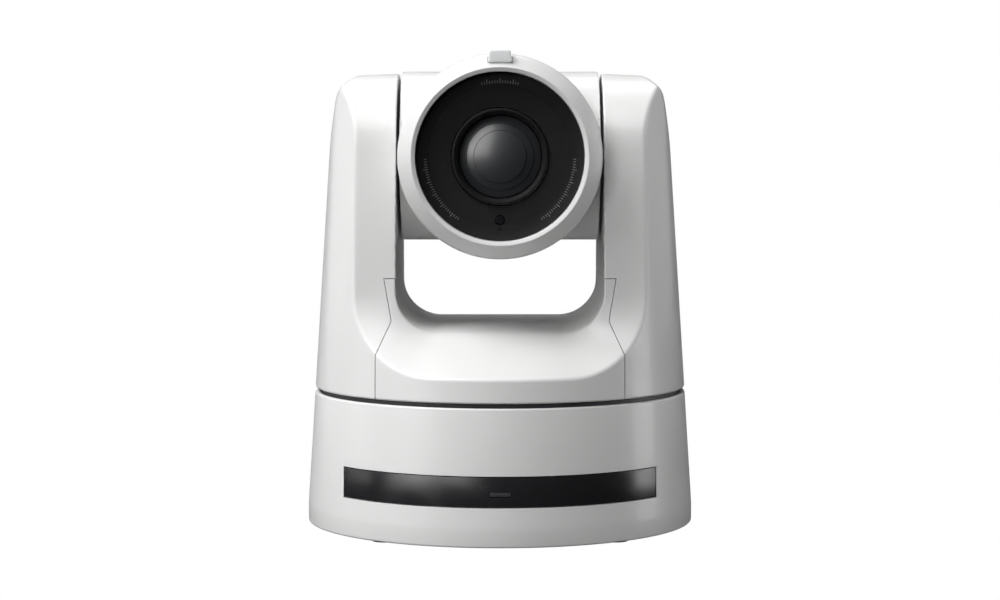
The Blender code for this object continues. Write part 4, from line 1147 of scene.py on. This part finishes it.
def lens_cell(node):
    """A black cell with a stepped rim round its glass, on the body of the same name."""
    low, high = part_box(node)
    rim, front, rear = high.x, low.y, high.y
    bore, pane_radius, bulge, pane_depth = 10.9 * MM, 10.6 * MM, 1.4 * MM, 1.2 * MM
    profile = [
        (rim, front + 0.8 * MM),
        (rim, rear - 0.8 * MM),
        (13.2 * MM, rear - 0.4 * MM),
        (bore, rear - 1.6 * MM),
        (bore, front + 1.8 * MM),
        (12.4 * MM, front + 1.2 * MM),
        (14.0 * MM, front + 0.6 * MM),
        (14.0 * MM, front),
        (rim - 0.5 * MM, front),
    ]
    cell = lathe(f"{node}_cell", "Y", AXIS_POINT, rounded(profile, 0.2 * MM, 3), 128)
    finish(smooth(cell), "black_plastic", node, node)
    middle = (front + rear) / 2
    angles = [radians(a) for a in range(10, 90, 10)]
    glass = [(0, middle - bulge)]
    glass += [(pane_radius * sin(a), middle - bulge * cos(a)) for a in angles]
    glass += [(pane_radius, middle), (pane_radius, middle + pane_depth), (0, middle + pane_depth)]
    pane = lathe(f"{node}_glass", "Y", AXIS_POINT, glass, 96)
    finish(smooth(pane, 40), "lens_glass", node)


for group in ("zoom_group", "focus_group"):
    lens_cell(group)


# ---------------- the scale on the plate

# Three arcs of graduations in degrees from the top, with a long one at every tenth degree
SCALE_ARCS = ((-14, 14), (92, 146), (-146, -92))
SCALE_RADIUS = 30.7 * MM
SCALE_FRONT = PLATE_FRONT + 0.28 * MM
LONG_MARK, SHORT_MARK = 1.9 * MM, 1.1 * MM
scale_marks = []
for first, last in SCALE_ARCS:
    for degree in range(first, last + 1, 2):
        height = LONG_MARK if degree % 10 == 0 else SHORT_MARK
        turn = Matrix.Rotation(radians(degree), 4, "Y")
        middle = Matrix.Translation((0, SCALE_FRONT, SCALE_RADIUS + height / 2))
        size = (0.24 * MM, 0.05 * MM, height)
        scale_marks.append((size, Matrix.Translation(AXIS_POINT) @ turn @ middle))
finish(boxes("plate_scale", scale_marks), "white_housing", "camera_head", look=GREY_INK)


# ---------------- the pieces that keep their CAD form

KEPT = {
    "steel": "bottom_plate base_deck pan_bearing_outer pan_bearing_inner pan_motor yoke_frame tilt_motor "
    "camera_bracket left_tilt_shaft right_tilt_shaft",
    "aluminium": "mounting_plate turntable tilt_motor_pulley camera_block",
    "circuit_board": "main_board arm_board sensor_board",
    "acetal": "pan_gear tilt_pulley",
    "brass": "pan_pinion left_tilt_bearing right_tilt_bearing",
    "rubber": "tilt_belt",
    "black_plastic": "fan_frame fan_rotor",
}
for slot, names in KEPT.items():
    for name in names.split():
        NODES[name].data.materials.clear()
        NODES[name].data.materials.append(FINISHES[slot])
        smooth(NODES[name])


# ---------------- floor, light and camera


def stage_piece(obj):
    """Makes a floor or backdrop glow an even white that lights nothing and that only the camera sees."""
    made = bpy.data.materials.new(f"{obj.name}_white")
    made.use_nodes = True
    tree = made.node_tree
    tree.nodes.clear()
    light = tree.nodes.new("ShaderNodeEmission")
    light.inputs["Color"].default_value = (1, 1, 1, 1)
    out = tree.nodes.new("ShaderNodeOutputMaterial")
    tree.links.new(light.outputs["Emission"], out.inputs["Surface"])
    obj.data.materials.append(made)
    obj.visible_diffuse = False
    obj.visible_glossy = False
    obj.visible_transmission = False
    obj.visible_shadow = False


FLOOR_REACH, FLOOR_TOP, FLOOR_BOTTOM = 6, -0.2 * MM, -40 * MM
floor_profile = [(0, FLOOR_TOP), (FLOOR_REACH, FLOOR_TOP), (FLOOR_REACH, FLOOR_BOTTOM), (0, FLOOR_BOTTOM)]
stage_piece(lathe("floor", "Z", CENTRE, floor_profile, 128))
BACKDROP_REACH, BACKDROP_DROP, BACKDROP_BOTTOM = 5.9, 0.1, -0.7
dome_angles = [radians(a) for a in range(0, 95, 5)]
dome_profile = [(BACKDROP_REACH * sin(a), BACKDROP_REACH * cos(a) - BACKDROP_DROP) for a in dome_angles]
dome_profile = rounded(dome_profile, MM, 1, False) + [(0, BACKDROP_BOTTOM)]
stage_piece(lathe("backdrop", "Z", CENTRE, dome_profile, 96))

# A faint sky, brighter overhead
world = bpy.data.worlds.new("studio")
bpy.context.scene.world = world
world.use_nodes = True
tree = world.node_tree
background = tree.nodes["Background"]
sky = tree.nodes.new("ShaderNodeTexCoord")
split = tree.nodes.new("ShaderNodeSeparateXYZ")
tree.links.new(sky.outputs["Generated"], split.inputs["Vector"])
tree.links.new(ranged(tree, split.outputs["Z"], 0.02, 0.1, -0.2, 0.9), background.inputs["Strength"])

LIGHT_DISTANCE = 2.1
LIGHT_AIM = Vector((0, 0, 0.11))


def area_light(name, location, width, height, power):
    """A soft rectangle of light that faces the object."""
    data = bpy.data.lights.new(name, "AREA")
    data.shape = "RECTANGLE"
    data.size, data.size_y = width, height
    data.energy = power
    light = bpy.data.objects.new(name, data)
    bpy.context.scene.collection.objects.link(light)
    light.location = location
    light.rotation_euler = (location - LIGHT_AIM).to_track_quat("Z", "Y").to_euler()
    return light


# Each softbox: its azimuth from the lens direction and its elevation, its width and height, and its power
SOFTBOXES = {
    "left_low": (-55, 8, 1.1, 0.9, 6.6),
    "left_side": (-92, 12, 0.8, 1.2, 4.0),
    "left_high": (-70, 55, 1.1, 1.1, 41.0),
    "front_low": (-12, 13, 1.0, 0.6, 14.0),
    "top_front": (-15, 62, 1.2, 1.0, 7.5),
    "right_side": (96, 8, 0.7, 1.2, 12.0),
    "rear_left": (-128, 12, 0.9, 1.2, 3.5),
    "rear_right": (130, 14, 0.9, 1.2, 3.5),
    "rear_high": (180, 62, 1.3, 1.0, 9.0),
}
for name, (azimuth, elevation, width, height, power) in SOFTBOXES.items():
    level, turn = cos(radians(elevation)), radians(azimuth)
    towards = Vector((level * sin(turn), -level * cos(turn), sin(radians(elevation))))
    light = area_light(name, LIGHT_AIM + LIGHT_DISTANCE * towards, width, height, power)
    light.visible_glossy = name != "front_low"  # it would mirror in the middle of the lens

# A large card beside the lens, which lights only the glass and the dark window of the base
CARD_AWAY = Vector((-1.05, -1.25, 0.75))
CARD_WIDTH, CARD_HEIGHT, CARD_POWER = 1.7, 1.5, 27
card_catchers = bpy.data.collections.new("card_catchers")
for catcher in (front_lens, band):
    card_catchers.objects.link(catcher)
card = area_light("card", LIGHT_AIM + CARD_AWAY, CARD_WIDTH, CARD_HEIGHT, CARD_POWER)
card.light_linking.receiver_collection = card_catchers

CAMERA_PLACE = (0, -1.085, 0.169)
CAMERA_PITCH = 3.727
camera_data = bpy.data.cameras.new("camera")
camera_data.lens = 88.23
camera_data.sensor_width = 36
camera_data.clip_end = 30
camera = bpy.data.objects.new("camera", camera_data)
bpy.context.scene.collection.objects.link(camera)
camera.location = CAMERA_PLACE
camera.rotation_euler = (radians(90 - CAMERA_PITCH), 0, 0)
bpy.context.scene.camera = camera
bpy.context.scene.view_settings.view_transform = "Standard"
